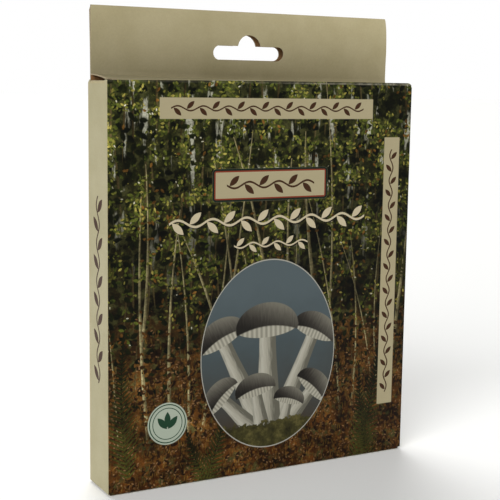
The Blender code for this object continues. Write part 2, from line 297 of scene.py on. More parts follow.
def buildToadstool():
    # One upright mushroom seen from the side: a pale stem, a dark domed cap and a band of gills.
    inputs = [("Place", "Vector"), ("Under", "Color"), ("Foot", "Vector")]
    inputs += [(n, "Float") for n in ("Lean", "Tall", "Cap")]
    tree, given = newGroup("toadstool", inputs, "Color")
    local, across, up = fromFoot(tree, given)
    share = addNode(tree, "ShaderNodeMath", up, given["Tall"], operation="DIVIDE")
    girth = toadstoolShape["girth"]
    girth = addNode(tree, "ShaderNodeMapRange", share, *girth, interpolation_type="SMOOTHSTEP")
    girth = addNode(tree, "ShaderNodeMath", girth, given["Cap"], operation="MULTIPLY")
    stemSide = addNode(tree, "ShaderNodeMath", across, girth, operation="DIVIDE")
    stemEdge = addNode(tree, "ShaderNodeMath", stemSide, operation="ABSOLUTE")
    stem = addNode(tree, "ShaderNodeMapRange", stemEdge, *toadstoolShape["stemEdge"])
    rises = addNode(tree, "ShaderNodeMath", share, 0.0, operation="GREATER_THAN")
    below = addNode(tree, "ShaderNodeMath", share, 1.0, operation="LESS_THAN")
    stem = addNode(tree, "ShaderNodeMath", stem, rises, operation="MULTIPLY")
    stem = addNode(tree, "ShaderNodeMath", stem, below, operation="MULTIPLY")
    stemTone = addNode(tree, "ShaderNodeMapRange", stemSide, -1.0, 1.0, 0.0, 1.0)
    streak = addNode(tree, "ShaderNodeVectorMath", local, toadstoolShape["streaks"], operation="MULTIPLY")
    streak = addNode(tree, "ShaderNodeTexNoise", streak, 1.0, 3.0)
    strong = toadstoolShape["stemStreaks"]
    stemTone = addNode(tree, "ShaderNodeMath", streak, strong, stemTone, operation="MULTIPLY_ADD")
    stemColour = addNode(tree, "ShaderNodeValToRGB", stemTone, stops=toadstoolShape["stemInks"])
    picture = addNode(tree, "ShaderNodeMix", stem, given["Under"], stemColour, data_type="RGBA")
    # gills: a shallow band under the cap, with fine lines that fan from the stem
    high = addNode(tree, "ShaderNodeMath", up, given["Tall"], operation="SUBTRACT")
    wide = addNode(tree, "ShaderNodeMath", across, given["Cap"], operation="DIVIDE")
    rise = addNode(tree, "ShaderNodeMath", high, given["Cap"], operation="DIVIDE")
    wideSquare = addNode(tree, "ShaderNodeMath", wide, 2.0, operation="POWER")
    low = addNode(tree, "ShaderNodeMath", rise, toadstoolShape["gillDeep"], operation="DIVIDE")
    low = addNode(tree, "ShaderNodeMath", low, 2.0, operation="POWER")
    gills = addNode(tree, "ShaderNodeMath", wideSquare, low, operation="ADD")
    gills = addNode(tree, "ShaderNodeMapRange", gills, *toadstoolShape["gillEdge"])
    fan = addNode(tree, "ShaderNodeMath", wide, toadstoolShape["gillLines"], operation="MULTIPLY")
    fan = addNode(tree, "ShaderNodeMath", fan, operation="SINE")
    fan = addNode(tree, "ShaderNodeMapRange", fan, *toadstoolShape["gillFan"])
    dark, light = (ink(tone) for tone in toadstoolShape["gillInks"])
    gillColour = addNode(tree, "ShaderNodeMix", fan, dark, light, data_type="RGBA")
    picture = addNode(tree, "ShaderNodeMix", gills, picture, gillColour, data_type="RGBA")
    # cap: a dome whose rim curls down a little at both ends
    droop = addNode(tree, "ShaderNodeMath", wideSquare, *toadstoolShape["droop"], operation="MULTIPLY_ADD")
    crown = addNode(tree, "ShaderNodeMath", rise, toadstoolShape["domeHigh"], operation="DIVIDE")
    crown = addNode(tree, "ShaderNodeMath", crown, 2.0, operation="POWER")
    dome = addNode(tree, "ShaderNodeMath", wideSquare, crown, operation="ADD")
    cap = addNode(tree, "ShaderNodeMapRange", dome, *toadstoolShape["domeEdge"])
    over = addNode(tree, "ShaderNodeMath", rise, droop, operation="SUBTRACT")
    over = addNode(tree, "ShaderNodeMapRange", over, *toadstoolShape["rimEdge"])
    cap = addNode(tree, "ShaderNodeMath", cap, over, operation="MULTIPLY")
    light, strong = toadstoolShape["capLight"], toadstoolShape["capStreaks"]
    lit = addNode(tree, "ShaderNodeMath", wide, light, rise, operation="MULTIPLY_ADD")
    lit = addNode(tree, "ShaderNodeMath", streak, strong, lit, operation="MULTIPLY_ADD")
    capColour = addNode(tree, "ShaderNodeValToRGB", lit, stops=toadstoolShape["capInks"])
    return endGroup(tree, addNode(tree, "ShaderNodeMix", cap, picture, capColour, data_type="RGBA"))


vineShape = {
    "lift": -0.42,  # how far its leaves lie from its middle
    "turn": -0.75,  # and how far they turn, in radians
    "long": 0.72,  # half a leaf's length and width
    "thick": 0.3,
    "sway": 0.3,  # how far its stem waves, and half the stem's width
    "stem": 0.1,
}


def buildVineRow():
    # A running vine along a strip: a waving stem with a leaf to each side in turn. Gives its mask.
    inputs = [(n, "Float") for n in ("Along", "Across", "Pitch", "High", "Extent")]
    tree, given = newGroup("vineRow", inputs, "Float")
    steps = addNode(tree, "ShaderNodeMath", given["Along"], given["Pitch"], operation="DIVIDE")
    count = addNode(tree, "ShaderNodeMath", steps, operation="FLOOR")
    local = addNode(tree, "ShaderNodeMath", steps, count, operation="SUBTRACT")
    local = addNode(tree, "ShaderNodeMath", local, 0.5, operation="SUBTRACT")
    local = addNode(tree, "ShaderNodeMath", local, given["Pitch"], operation="MULTIPLY")
    flip = addNode(tree, "ShaderNodeMath", count, 1.0, operation="PINGPONG")
    flip = addNode(tree, "ShaderNodeMapRange", flip, 0.0, 1.0, -1.0, 1.0)
    level = addNode(tree, "ShaderNodeMath", given["Across"], flip, operation="MULTIPLY")
    lift = vineShape["lift"]
    lift = addNode(tree, "ShaderNodeMath", given["High"], lift, level, operation="MULTIPLY_ADD")
    leaf = addNode(tree, "ShaderNodeCombineXYZ", local, lift, 0.0)
    turn = ((0, 0, 0), vineShape["turn"])
    leaf = addNode(tree, "ShaderNodeVectorRotate", leaf, *turn, rotation_type="Z_AXIS")
    long = addNode(tree, "ShaderNodeMath", given["High"], vineShape["long"], operation="MULTIPLY")
    thick = addNode(tree, "ShaderNodeMath", given["High"], vineShape["thick"], operation="MULTIPLY")
    size = addNode(tree, "ShaderNodeCombineXYZ", long, thick, 1.0)
    leaf = addNode(tree, "ShaderNodeVectorMath", leaf, size, operation="DIVIDE")
    alongLeaf, acrossLeaf = addNode(tree, "ShaderNodeSeparateXYZ", leaf, pick=(0, 1))
    blade = bladeReach(tree, acrossLeaf, alongLeaf)
    blade = addNode(tree, "ShaderNodeMath", blade, 1.0, operation="LESS_THAN")
    wave = addNode(tree, "ShaderNodeMath", steps, math.pi, operation="MULTIPLY")
    wave = addNode(tree, "ShaderNodeMath", wave, operation="SINE")
    sway = addNode(tree, "ShaderNodeMath", given["High"], vineShape["sway"], operation="MULTIPLY")
    wave = addNode(tree, "ShaderNodeMath", wave, sway, operation="MULTIPLY")
    stem = addNode(tree, "ShaderNodeMath", given["High"], vineShape["stem"], operation="MULTIPLY")
    stem = addNode(tree, "ShaderNodeMath", given["Across"], wave, stem, operation="COMPARE")
    mask = addNode(tree, "ShaderNodeMath", blade, stem, operation="MAXIMUM")
    far = addNode(tree, "ShaderNodeMath", given["Along"], operation="ABSOLUTE")
    far = addNode(tree, "ShaderNodeMath", far, given["Extent"], operation="LESS_THAN")
    return endGroup(tree, addNode(tree, "ShaderNodeMath", mask, far, operation="MULTIPLY"))


def buildLabelEdge():
    # Distance in millimetres from the outline of a rounded rectangle, below zero inside it.
    inputs = [("Place", "Vector"), ("Centre", "Vector"), ("Half", "Vector"), ("Radius", "Float")]
    tree, given = newGroup("labelEdge", inputs, "Float")
    local = addNode(tree, "ShaderNodeVectorMath", given["Place"], given["Centre"], operation="SUBTRACT")
    local = addNode(tree, "ShaderNodeVectorMath", local, operation="ABSOLUTE")
    local = addNode(tree, "ShaderNodeVectorMath", local, given["Half"], operation="SUBTRACT")
    corner = addNode(tree, "ShaderNodeCombineXYZ", given["Radius"], given["Radius"], 0.0)
    local = addNode(tree, "ShaderNodeVectorMath", local, corner, operation="ADD")
    acrossX, acrossY = addNode(tree, "ShaderNodeSeparateXYZ", local, pick=(0, 1))
    outside = addNode(tree, "ShaderNodeVectorMath", local, (0, 0, 0), operation="MAXIMUM")
    outside = addNode(tree, "ShaderNodeVectorMath", outside, operation="LENGTH")
    inside = addNode(tree, "ShaderNodeMath", acrossX, acrossY, operation="MAXIMUM")
    inside = addNode(tree, "ShaderNodeMath", inside, 0.0, operation="MINIMUM")
    edge = addNode(tree, "ShaderNodeMath", outside, inside, operation="ADD")
    return endGroup(tree, addNode(tree, "ShaderNodeMath", edge, given["Radius"], operation="SUBTRACT"))


leafPatch = buildLeafPatch()
frondPrint = buildFrond()
stalkPrint = buildStalk()
toadstool = buildToadstool()
vineRow = buildVineRow()
labelEdge = buildLabelEdge()
print("printed motifs ready")


def newMaterial(name, printed=False):
    # a Principled material with the piece's own coordinates in millimetres; a printed one reads where
    # each point of the board lies when the carton is closed, so nothing slides as a flap folds
    material = bpy.data.materials.new(name)
    material.use_nodes = True
    tree = material.node_tree
    if printed:
        place = addNode(tree, "ShaderNodeAttribute", attribute_name="restPlace", pick=1)
    else:
        place = addNode(tree, "ShaderNodeTexCoord", pick=3)
    place = addNode(tree, "ShaderNodeVectorMath", place, (1000, 1000, 1000), operation="MULTIPLY")
    return material, tree, tree.nodes["Principled BSDF"], place


def roughen(tree, shader, fibre, bump):
    # lets the board's fibres stand out: how strongly, and how high in millimetres
    strength, height = bump
    bump = addNode(tree, "ShaderNodeBump", strength, height * mm, 1.0, fibre)
    tree.links.new(bump, shader.inputs["Normal"])


# Coated folding boxboard: offset ink under a thin satin varnish
varnish = {
    "gloss": 0.08,
    "ior": 1.48,
    "roughness": (9.0, 4.0, 0.6, 0.3, 0.7, 0.36, 0.48),
    "fibre": (0.35, 3.0, 0.6),
    "bump": (0.25, 0.012),  # strength, height
}


def finishVarnish(tree, shader, place):
    # a soft even sheen, in which the board's fibres show as a faint unevenness
    tree.links.new(clouds(tree, place, *varnish["roughness"]), shader.inputs["Roughness"])
    size, *rough = varnish["fibre"]
    roughen(tree, shader, addNode(tree, "ShaderNodeTexNoise", place, 1 / size, *rough), varnish["bump"])
    shader.inputs["IOR"].default_value = varnish["ior"]
    shader.inputs["Specular IOR Level"].default_value = varnish["gloss"]


cream = {
    "inks": ("#A39979", "#9C9271"),
    "coolLitSideInks": ("#A0997B", "#999273"),  # a cooler copy of the ink for the narrow sides: painted light, for the cooler light on them
    "motif": "#3A2416",
    "tones": (14.0, 3.0, 0.55, 0.35, 0.65, 0.0, 1.0),
    "grain": (0.8, 2.0, 0.7, 0.3, 0.7, 0.96, 1.04),
    "footShade": (159.0, 184.0, 0.7, 1.0),  # painted shade: from which height to which, and how dark there, darker down the header to its foot and over the lid
    # painted light: from which x to which it grows lighter to the right, and how much
    "rightLight": (-15.0, 60.0, 1.0, 1.15),
}


def creamInk(tree, place, inks):
    # flat cream ink: two near tones in broad clouds, with a fine printed grain
    cloud = clouds(tree, place, *cream["tones"])
    colour = addNode(tree, "ShaderNodeMix", cloud, ink(inks[0]), ink(inks[1]), data_type="RGBA")
    return dim(tree, colour, clouds(tree, place, *cream["grain"]))


def creamMaterial(name, paint=None, inks=cream["inks"]):
    # cream board; paint adds a motif and gives back the colour
    material, tree, shader, place = newMaterial(name, printed=True)
    colour = creamInk(tree, place, inks)
    if paint:
        colour = paint(tree, place, colour)
    tree.links.new(colour, shader.inputs["Base Color"])
    finishVarnish(tree, shader, place)
    return material


def paintFootShade(tree, place, colour):
    # painted shade: the header grows darker down to its foot, and the lid and tuck, in the shade
    # there, are darker still; painted light makes it lighter towards the right
    across, height = addNode(tree, "ShaderNodeSeparateXYZ", place, pick=(0, 2))
    colour = dim(tree, colour, addNode(tree, "ShaderNodeMapRange", height, *cream["footShade"]))
    return dim(tree, colour, addNode(tree, "ShaderNodeMapRange", across, *cream["rightLight"]))


def vineMask(tree, along, level, pitch, high, leaves):
    # where a vine of so many leaves to each side of its middle is
    return addNode(tree, "ShaderNodeGroup", along, level, pitch, high, pitch * leaves, node_tree=vineRow)


sideVine = {"middle": 78.0, "pitch": 7.2, "high": 5.0, "leaves": 5}


def paintSide(tree, place, colour):
    # an upright vine in dark brown along the middle of each narrow side
    depth, height = addNode(tree, "ShaderNodeSeparateXYZ", place, pick=(1, 2))
    height = addNode(tree, "ShaderNodeMath", height, sideVine["middle"], operation="SUBTRACT")
    mask = vineMask(tree, height, depth, sideVine["pitch"], sideVine["high"], sideVine["leaves"])
    return addNode(tree, "ShaderNodeMix", mask, colour, ink(cream["motif"]), data_type="RGBA")


backFrame = {
    "centre": (0.0, 79.0, 0.0),
    "half": (60.0, 70.0, 0.0),
    "radius": 3.0,
    "line": 0.35,
    "innerLine": -1.6,
    "vines": ((138.0, 6), (79.0, 7), (20.0, 6)),  # height, leaves to each side of the middle
    "pitch": 6.4,
    "high": 3.6,
}


def paintBack(tree, place, colour):
    # a plain frame of two lines and three short vines
    across, height = addNode(tree, "ShaderNodeSeparateXYZ", place, pick=(0, 2))
    flat = addNode(tree, "ShaderNodeCombineXYZ", across, height, 0.0)
    outline = (backFrame["centre"], backFrame["half"], backFrame["radius"])
    edge = addNode(tree, "ShaderNodeGroup", flat, *outline, node_tree=labelEdge)
    mask = addNode(tree, "ShaderNodeMath", edge, 0.0, backFrame["line"], operation="COMPARE")
    inner = backFrame["innerLine"], backFrame["line"] / 2
    inner = addNode(tree, "ShaderNodeMath", edge, *inner, operation="COMPARE")
    mask = addNode(tree, "ShaderNodeMath", mask, inner, operation="MAXIMUM")
    for level, leaves in backFrame["vines"]:
        line = addNode(tree, "ShaderNodeMath", height, level, operation="SUBTRACT")
        vine = vineMask(tree, across, line, backFrame["pitch"], backFrame["high"], leaves)
        mask = addNode(tree, "ShaderNodeMath", mask, vine, operation="MAXIMUM")
    return addNode(tree, "ShaderNodeMix", mask, colour, ink(cream["motif"]), data_type="RGBA")


creamBoard = creamMaterial("creamVarnishedBoard")
# cream board with painted shade at the header's foot and over the lid, and painted light to the right
shadedCreamBoard = creamMaterial("creamBoardPaintedShade", paintFootShade)
# cream board for the sides, in the cooler ink copy that paints the light falling on them
sideBoard = creamMaterial("creamBoardVine", paintSide, cream["coolLitSideInks"])
backBoard = creamMaterial("creamBoardFrame", paintBack)

# Unprinted side of recycled boxboard: matt brown, with long fibres and flecks from the pulp.
raw = {
    "tone": "#AC7D4B",
    "deep": "#876035",
    "fleck": "#BF9A68",
    "fibres": (2.2, 5.0, 0.65, 2.0, 0.4),  # the last is how far they are distorted
    "fibreTones": (0.35, 0.65, 0.0, 1.0),
    "flecks": (0.9, 2.0, 0.5, 0.62, 0.72, 0.0, 0.7),
    "bump": (0.5, 0.03),
    "roughness": 0.85,
    "between": (155.0, 162.0, 1.0, 0.48),  # painted shade: darker up between the header's plies, where shade falls
}


def rawMaterial(name, between=None):
    material, tree, shader, place = newMaterial(name)
    size, *rough = raw["fibres"]
    cloud = addNode(tree, "ShaderNodeTexNoise", place, 1 / size, *rough)
    cloud = addNode(tree, "ShaderNodeMapRange", cloud, *raw["fibreTones"])
    colour = addNode(tree, "ShaderNodeMix", cloud, ink(raw["tone"]), ink(raw["deep"]), data_type="RGBA")
    fleck = clouds(tree, place, *raw["flecks"])
    colour = addNode(tree, "ShaderNodeMix", fleck, colour, ink(raw["fleck"]), data_type="RGBA")
    # painted shade: the board grows darker up between the header's plies
    if between:
        height = addNode(tree, "ShaderNodeSeparateXYZ", place, pick=2)
        colour = dim(tree, colour, addNode(tree, "ShaderNodeMapRange", height, *between))
    tree.links.new(colour, shader.inputs["Base Color"])
    roughen(tree, shader, cloud, raw["bump"])
    shader.inputs["Roughness"].default_value = raw["roughness"]
    return material


rawBoard = rawMaterial("rawBrownBoard")
# raw board for the back wall's inside and the header's plies, with painted shade between the plies
pliesBoard = rawMaterial("rawBoardBetweenPlies", raw["between"])

# Cut edge of the board: torn grey-brown fibres between the two faces.
cut = {
    "tone": "#9C8F74",
    "deep": "#776B52",
    "fibres": (0.5, 3.0, 0.7, 0.35, 0.65, 0.0, 1.0),
    "bump": (0.6, 0.04),
    "roughness": 0.9,
}


def cutMaterial():
    material, tree, shader, place = newMaterial("cutBoardEdge")
    fibre = clouds(tree, place, *cut["fibres"])
    colour = addNode(tree, "ShaderNodeMix", fibre, ink(cut["tone"]), ink(cut["deep"]), data_type="RGBA")
    tree.links.new(colour, shader.inputs["Base Color"])
    roughen(tree, shader, fibre, cut["bump"])
    shader.inputs["Roughness"].default_value = cut["roughness"]
    return material


cutBoard = cutMaterial()

# Front print: an undergrowth of leaves, grass and ferns, with plain labels over it.
wood = {
    "bands": ((0.0, "#44290F"), (0.25, "#503618"), (0.45, "#272010"), (0.72, "#2D2C16"), (1.0, "#33361C")),
    "height": 157.0,
    "sway": (30.0, 0.25, 0.12),  # the bands wander: size of the waves, their height and about half of it
    "cloud": (13.0, 6.0, 0.62),
    "cloudLight": (0.36, 0.66, 0.3, 1.7),
    "far": "#4A4A2C",  # blurred leaves far behind
    "blur": (5.0, 4.0, 0.6, 0.48, 0.62, 0.0, 0.8),
    "mist": "#9C9B8C",  # light that falls between the stalks
    "mistScale": (1 / 4, 1 / 22, 1.0),
    "mistClouds": (1.0, 5.0, 0.6, 0.56, 0.63, 0.0, 0.9),
    "mistHigh": (0.5, 0.8, 0.0, 1.0),
    "upper": (0.3, 0.72, 0.0, 1.0),  # where the growth is green, where it is litter, and between
    "lower": (0.46, 0.22, 0.0, 1.0),
    "middle": (0.12, 0.3, 0.0, 1.0),
    "drift": (0.44, 0.58, 0.0, 1.0),
    "turning": (0.5, 0.62, 0.03, 0.4),
    "grain": (0.9, 3.0, 0.7, 0.3, 0.7, 0.6, 1.3),
    "driftLight": (0.38, 0.64, 0.55, 1.3),
    "depth": ((0.3, "#FFFFFF"), (0.5, "#DADADA"), (0.62, "#DADADA"), (0.85, "#FFFFFF")),
    "dusk": (0.0, 48.0, 1.0, 0.8),
    "contrast": 1.2,
    "gain": 1.62,
    "printEnds": -9.8,  # where the print stops on the wraps
}

# in the order they are painted: dark ink, light ink, cell, stretch, lean, turn, half length, half width,
# seed, where it grows and how thickly
strewn = {
    "farGrass": ("#352C18", "#5E5438", 4.6, 8.0, 0.0, 0.12, 3.7, 0.11, 1.0, "middle", 0.62),
    "deepLeaf": ("#0F1208", "#22260F", 3.4, 1.0, 0.0, 3.1, 0.66, 0.36, 2.0, "middle", 0.7),
    "greenLeaf": ("#2C3414", "#5A602A", 2.3, 1.0, 0.3, 3.1, 0.64, 0.32, 3.0, "thick", 0.95),
    "smallLeaf": ("#3A3E1A", "#6E6E34", 1.5, 1.0, 0.3, 3.1, 0.62, 0.34, 4.0, "thick", 0.55),
    "autumnLeaf": ("#4C3718", "#7C5C2E", 2.0, 1.0, 0.0, 3.1, 0.58, 0.30, 11.0, "turning", 0.5),
    "paleLeaf": ("#5C5A2A", "#938A4C", 1.7, 1.0, 0.0, 3.1, 0.60, 0.30, 5.0, "thick", 0.3),
    "glint": ("#77745E", "#B5B2A0", 1.5, 1.0, 0.0, 3.1, 0.42, 0.22, 6.0, "thick", 0.06),
    "wetLitter": ("#23170C", "#352513", 3.4, 0.6, 0.0, 3.1, 0.58, 0.30, 7.0, "lower", 0.7),
    "russetLitter": ("#452E14", "#604522", 2.3, 0.6, 0.0, 3.1, 0.54, 0.28, 8.0, "lower", 0.6),
    "dryLitter": ("#57402A", "#785F42", 1.6, 0.6, 0.0, 3.1, 0.44, 0.22, 9.0, "lower", 0.28),
    "dryGrass": ("#33240F", "#6B5429", 1.15, 2.6, 0.0, 0.5, 1.3, 0.17, 12.0, "lower", 0.5),
}

stalks = {
    "behind": "smallLeaf",  # the kind of leaf that is painted next, over them
    "count": 20,
    "seed": 4,
    "spread": 66.0,
    "stray": (0.2, 0.8),
    "foot": (8.0, 66.0),
    "long": (62.0, 105.0),
    "half": (0.4, 1.15),
    "lean": 0.22,
    "bend": 15.0,
    "grainScale": (0.9, 0.16, 1.0),
    "grain": (1.0, 4.0, 0.7),
}

frondInks = ("#1C1D0D", "#4C4A22")
# foot x, foot z, lean, length, half width, bend, pitch
fronds = (
    (-60.0, 6.0, -0.16, 58.0, 7.5, 8.0, 1.9),
    (-30.0, -6.0, 0.5, 40.0, 7.0, -8.0, 1.8),
    (-24.0, -4.0, -0.6, 30.0, 5.5, 6.0, 1.6),
    (44.0, -2.0, 0.35, 54.0, 8.0, -8.0, 2.0),
    (52.0, -6.0, -0.30, 46.0, 7.0, 7.0, 1.8),
    (60.0, 76.0, 0.9, 42.0, 6.5, -8.0, 1.8),
    (-66.0, 84.0, -0.9, 44.0, 7.0, 8.0, 1.9),
)


def paintStalks(tree, place, colour):
    # pale reed stalks at even steps, each moved, leant and sized at random
    draw = random.Random(stalks["seed"])
    spot, scale = after(tree, place, colour), stalks["grainScale"]
    grain = addNode(tree, "ShaderNodeVectorMath", spot, scale, operation="MULTIPLY")
    grain = addNode(tree, "ShaderNodeTexNoise", grain, *stalks["grain"])
    for i in range(stalks["count"]):
        x = stalks["spread"] * (2 * (i + draw.uniform(*stalks["stray"])) / stalks["count"] - 1)
        shape = (
            (x, draw.uniform(*stalks["foot"]), 0.0),
            draw.uniform(-stalks["lean"], stalks["lean"]),
            draw.uniform(*stalks["long"]),
            draw.uniform(*stalks["half"]),
            draw.uniform(-stalks["bend"], stalks["bend"]),
        )
        spot = after(tree, place, colour)
        colour = addNode(tree, "ShaderNodeGroup", spot, colour, grain, *shape, node_tree=stalkPrint)
    return colour


def paintUndergrowth(tree, place, height):
    smooth = {"interpolation_type": "SMOOTHSTEP"}
    level = addNode(tree, "ShaderNodeMath", height, wood["height"], operation="DIVIDE")
    waves, high, half = wood["sway"]
    sway = addNode(tree, "ShaderNodeTexNoise", place, 1 / waves, 2.0)
    level = addNode(tree, "ShaderNodeMath", sway, high, level, operation="MULTIPLY_ADD")
    level = addNode(tree, "ShaderNodeMath", level, half, operation="SUBTRACT")
    colour = addNode(tree, "ShaderNodeValToRGB", level, stops=wood["bands"])
    size, *rough = wood["cloud"]
    cloud = addNode(tree, "ShaderNodeTexNoise", place, 1 / size, *rough)
    colour = dim(tree, colour, addNode(tree, "ShaderNodeMapRange", cloud, *wood["cloudLight"]))
    soft = clouds(tree, place, *wood["blur"], **smooth)
    colour = addNode(tree, "ShaderNodeMix", soft, colour, ink(wood["far"]), data_type="RGBA")
    spot, scale = after(tree, place, colour), wood["mistScale"]
    mist = addNode(tree, "ShaderNodeVectorMath", spot, scale, operation="MULTIPLY")
    mist = clouds(tree, mist, *wood["mistClouds"], **smooth)
    high = addNode(tree, "ShaderNodeMapRange", level, *wood["mistHigh"])
    mist = addNode(tree, "ShaderNodeMath", mist, high, operation="MULTIPLY")
    colour = addNode(tree, "ShaderNodeMix", mist, colour, ink(wood["mist"]), data_type="RGBA")

    # how thickly each kind grows, by height and in drifts
    grows = {}
    for band in ("upper", "lower", "middle"):
        grows[band] = addNode(tree, "ShaderNodeMapRange", level, *wood[band], **smooth)
    drift = addNode(tree, "ShaderNodeMapRange", cloud, *wood["drift"])
    grows["thick"] = addNode(tree, "ShaderNodeMath", grows["upper"], drift, operation="MULTIPLY")
    grows["turning"] = addNode(tree, "ShaderNodeMapRange", sway, *wood["turning"])
    for name, (dark, light, *shape, seed, where, share) in strewn.items():
        if name == stalks["behind"]:
            colour = paintStalks(tree, place, colour)
        cover = addNode(tree, "ShaderNodeMath", grows[where], share, operation="MULTIPLY")
        kind = (ink(dark), ink(light), *shape, cover, seed)
        spot = after(tree, place, colour)
        colour = addNode(tree, "ShaderNodeGroup", spot, colour, *kind, node_tree=leafPatch)
    dark, light = (ink(tone) for tone in frondInks)
    for x, z, *shape in fronds:
        spot, foot = after(tree, place, colour), (x, z, 0.0)
        colour = addNode(
            tree, "ShaderNodeGroup", spot, colour, dark, light, foot, *shape, node_tree=frondPrint
        )
    colour = dim(tree, colour, clouds(tree, place, *wood["grain"]))
    colour = dim(tree, colour, addNode(tree, "ShaderNodeMapRange", cloud, *wood["driftLight"]))
    # darker half way up, where the growth is deepest, and to the right; then more contrast overall
    colour = dim(tree, colour, addNode(tree, "ShaderNodeValToRGB", level, stops=wood["depth"]))
    across = addNode(tree, "ShaderNodeSeparateXYZ", place, pick=0)
    colour = dim(tree, colour, addNode(tree, "ShaderNodeMapRange", across, *wood["dusk"]))
    colour = addNode(tree, "ShaderNodeGamma", colour, wood["contrast"])
    return dim(tree, colour, wood["gain"])


# each label: centre x, centre z, half width, half height, corner radius, then its vine's leaf pitch,
# leaf height and leaves to each side of the middle
labels = {
    "topStrip": (0.6, 147.0, 47.8, 4.0, 0.2, 5.4, 3.0, 8),
    "sideStrip": (58.5, 78.4, 3.8, 57.0, 0.2, 5.2, 2.9, 10),
    "plaque": (1.0, 117.4, 26.0, 6.4, 1.6, 6.6, 4.0, 3),
}
plaqueLines = ((-0.4, 0.4, "edge"), (-1.05, 0.27, "red"))  # how far inside, half width, ink
# two rows of pale vine, each over its own shadow: middle x, middle z, leaf pitch, leaf height, leaves
paleVines = ((1.1, 103.2, 7.4, 4.6, 6), (1.4, 93.6, 5.6, 3.2, 3))
labelInks = {
    "cream": "#9B9173",
    "brown": "#3A2416",
    "edge": "#15211A",
    "red": "#74301F",
    "pale": "#B3A78B",
    "shadow": "#15120A",
    "shadowShift": 0.45,
    "softEdge": 0.1,
}


def paintVine(tree, colour, flat, tone, x, z, pitch, high, leaves, upright=False):
    spot = after(tree, flat, colour)
    local = addNode(tree, "ShaderNodeVectorMath", spot, (x, z, 0.0), operation="SUBTRACT")
    along, level = addNode(tree, "ShaderNodeSeparateXYZ", local, pick=(1, 0) if upright else (0, 1))
    vine = vineMask(tree, along, level, pitch, high, leaves)
    return addNode(tree, "ShaderNodeMix", vine, colour, ink(labelInks[tone]), data_type="RGBA")


def paintLabel(tree, colour, flat, name):
    # a flat cream label with a brown vine along it; the plaque has two lines round it
    x, z, halfX, halfZ, radius, *vine = labels[name]
    flat = after(tree, flat, colour)
    outline = ((x, z, 0.0), (halfX, halfZ, 0.0), radius)
    edge = addNode(tree, "ShaderNodeGroup", flat, *outline, node_tree=labelEdge)
    soft = labelInks["softEdge"]
    mask = addNode(tree, "ShaderNodeMapRange", edge, soft, -soft, 0.0, 1.0)
    colour = addNode(tree, "ShaderNodeMix", mask, colour, ink(labelInks["cream"]), data_type="RGBA")
    if name == "plaque":
        for depth, half, tone in plaqueLines:
            line = addNode(tree, "ShaderNodeMath", edge, depth, half, operation="COMPARE")
            colour = addNode(tree, "ShaderNodeMix", line, colour, ink(labelInks[tone]), data_type="RGBA")
    return paintVine(tree, colour, flat, "brown", x, z, *vine, upright=halfZ > halfX)


oval = {
    "outline": (1.4, 48.7, 30.7, 38.6),  # centre x, centre z, half width, half height
    "sky": ((0.12, "#3A2E20"), (0.38, "#3C3C38"), (0.7, "#414A4C"), (1.0, "#4C5659")),
    "edge": (1.004, 0.996, 0.0, 1.0),
    "haze": (14.0, 0.3),  # size and strength
    "moss": ((0.3, "#1C1A0D"), (0.5, "#38351B"), (0.7, "#5C552F")),
    "mossClouds": (4.5, 5.0, 0.65),
    "mound": (13.0, 14.5),  # how rough it is and how high it lies
    "moundEdge": (0.0, 0.5, 0.0, 1.0),
    "rim": "#96948A",
    "rimHalf": 0.006,
    # foot x, foot z, lean, height, half cap; the ones behind come first
    "tuft": (
        (-3.0, 22.0, -0.46, 39.0, 11.5),
        (7.0, 22.0, 0.42, 38.0, 11.0),
        (1.5, 18.0, -0.03, 42.0, 14.5),
        (-6.0, 19.0, -0.80, 20.0, 9.5),
        (9.0, 18.0, 0.75, 20.0, 10.0),
        (-1.0, 16.0, -0.20, 19.0, 9.5),
        (7.5, 16.0, 0.26, 13.5, 7.5),
    ),
}


def paintOval(tree, colour, flat):
    # a tuft of mushrooms on a mound of moss, in an oval with a thin pale rim
    x, z, halfX, halfZ = oval["outline"]
    flat = after(tree, flat, colour)
    height = addNode(tree, "ShaderNodeSeparateXYZ", flat, pick=1)
    local = addNode(tree, "ShaderNodeVectorMath", flat, (x, z, 0.0), operation="SUBTRACT")
    local = addNode(tree, "ShaderNodeVectorMath", local, (halfX, halfZ, 1.0), operation="DIVIDE")
    reach = addNode(tree, "ShaderNodeVectorMath", local, operation="LENGTH")
    inside = addNode(tree, "ShaderNodeMapRange", reach, *oval["edge"])
    glow = addNode(tree, "ShaderNodeMapRange", height, z - halfZ, z + halfZ, 0.0, 1.0)
    size, strong = oval["haze"]
    haze = addNode(tree, "ShaderNodeTexNoise", flat, 1 / size, 3.0)
    glow = addNode(tree, "ShaderNodeMath", haze, strong, glow, operation="MULTIPLY_ADD")
    picture = addNode(tree, "ShaderNodeValToRGB", glow, stops=oval["sky"])
    for footX, footZ, *shape in oval["tuft"]:
        spot, foot = after(tree, flat, picture), (footX, footZ, 0.0)
        picture = addNode(tree, "ShaderNodeGroup", spot, picture, foot, *shape, node_tree=toadstool)
    # a mound of moss hides the feet
    spot = after(tree, flat, picture)
    size, *rough = oval["mossClouds"]
    rough = addNode(tree, "ShaderNodeTexNoise", spot, 1 / size, *rough)
    mound = addNode(tree, "ShaderNodeMath", rough, *oval["mound"], operation="MULTIPLY_ADD")
    mound = addNode(tree, "ShaderNodeMath", mound, height, operation="SUBTRACT")
    mound = addNode(tree, "ShaderNodeMapRange", mound, *oval["moundEdge"])
    moss = addNode(tree, "ShaderNodeValToRGB", rough, stops=oval["moss"])
    picture = addNode(tree, "ShaderNodeMix", mound, picture, moss, data_type="RGBA")
    colour = addNode(tree, "ShaderNodeMix", inside, colour, picture, data_type="RGBA")
    rim = addNode(tree, "ShaderNodeMath", reach, 1.0, oval["rimHalf"], operation="COMPARE")
    return addNode(tree, "ShaderNodeMix", rim, colour, ink(oval["rim"]), data_type="RGBA")


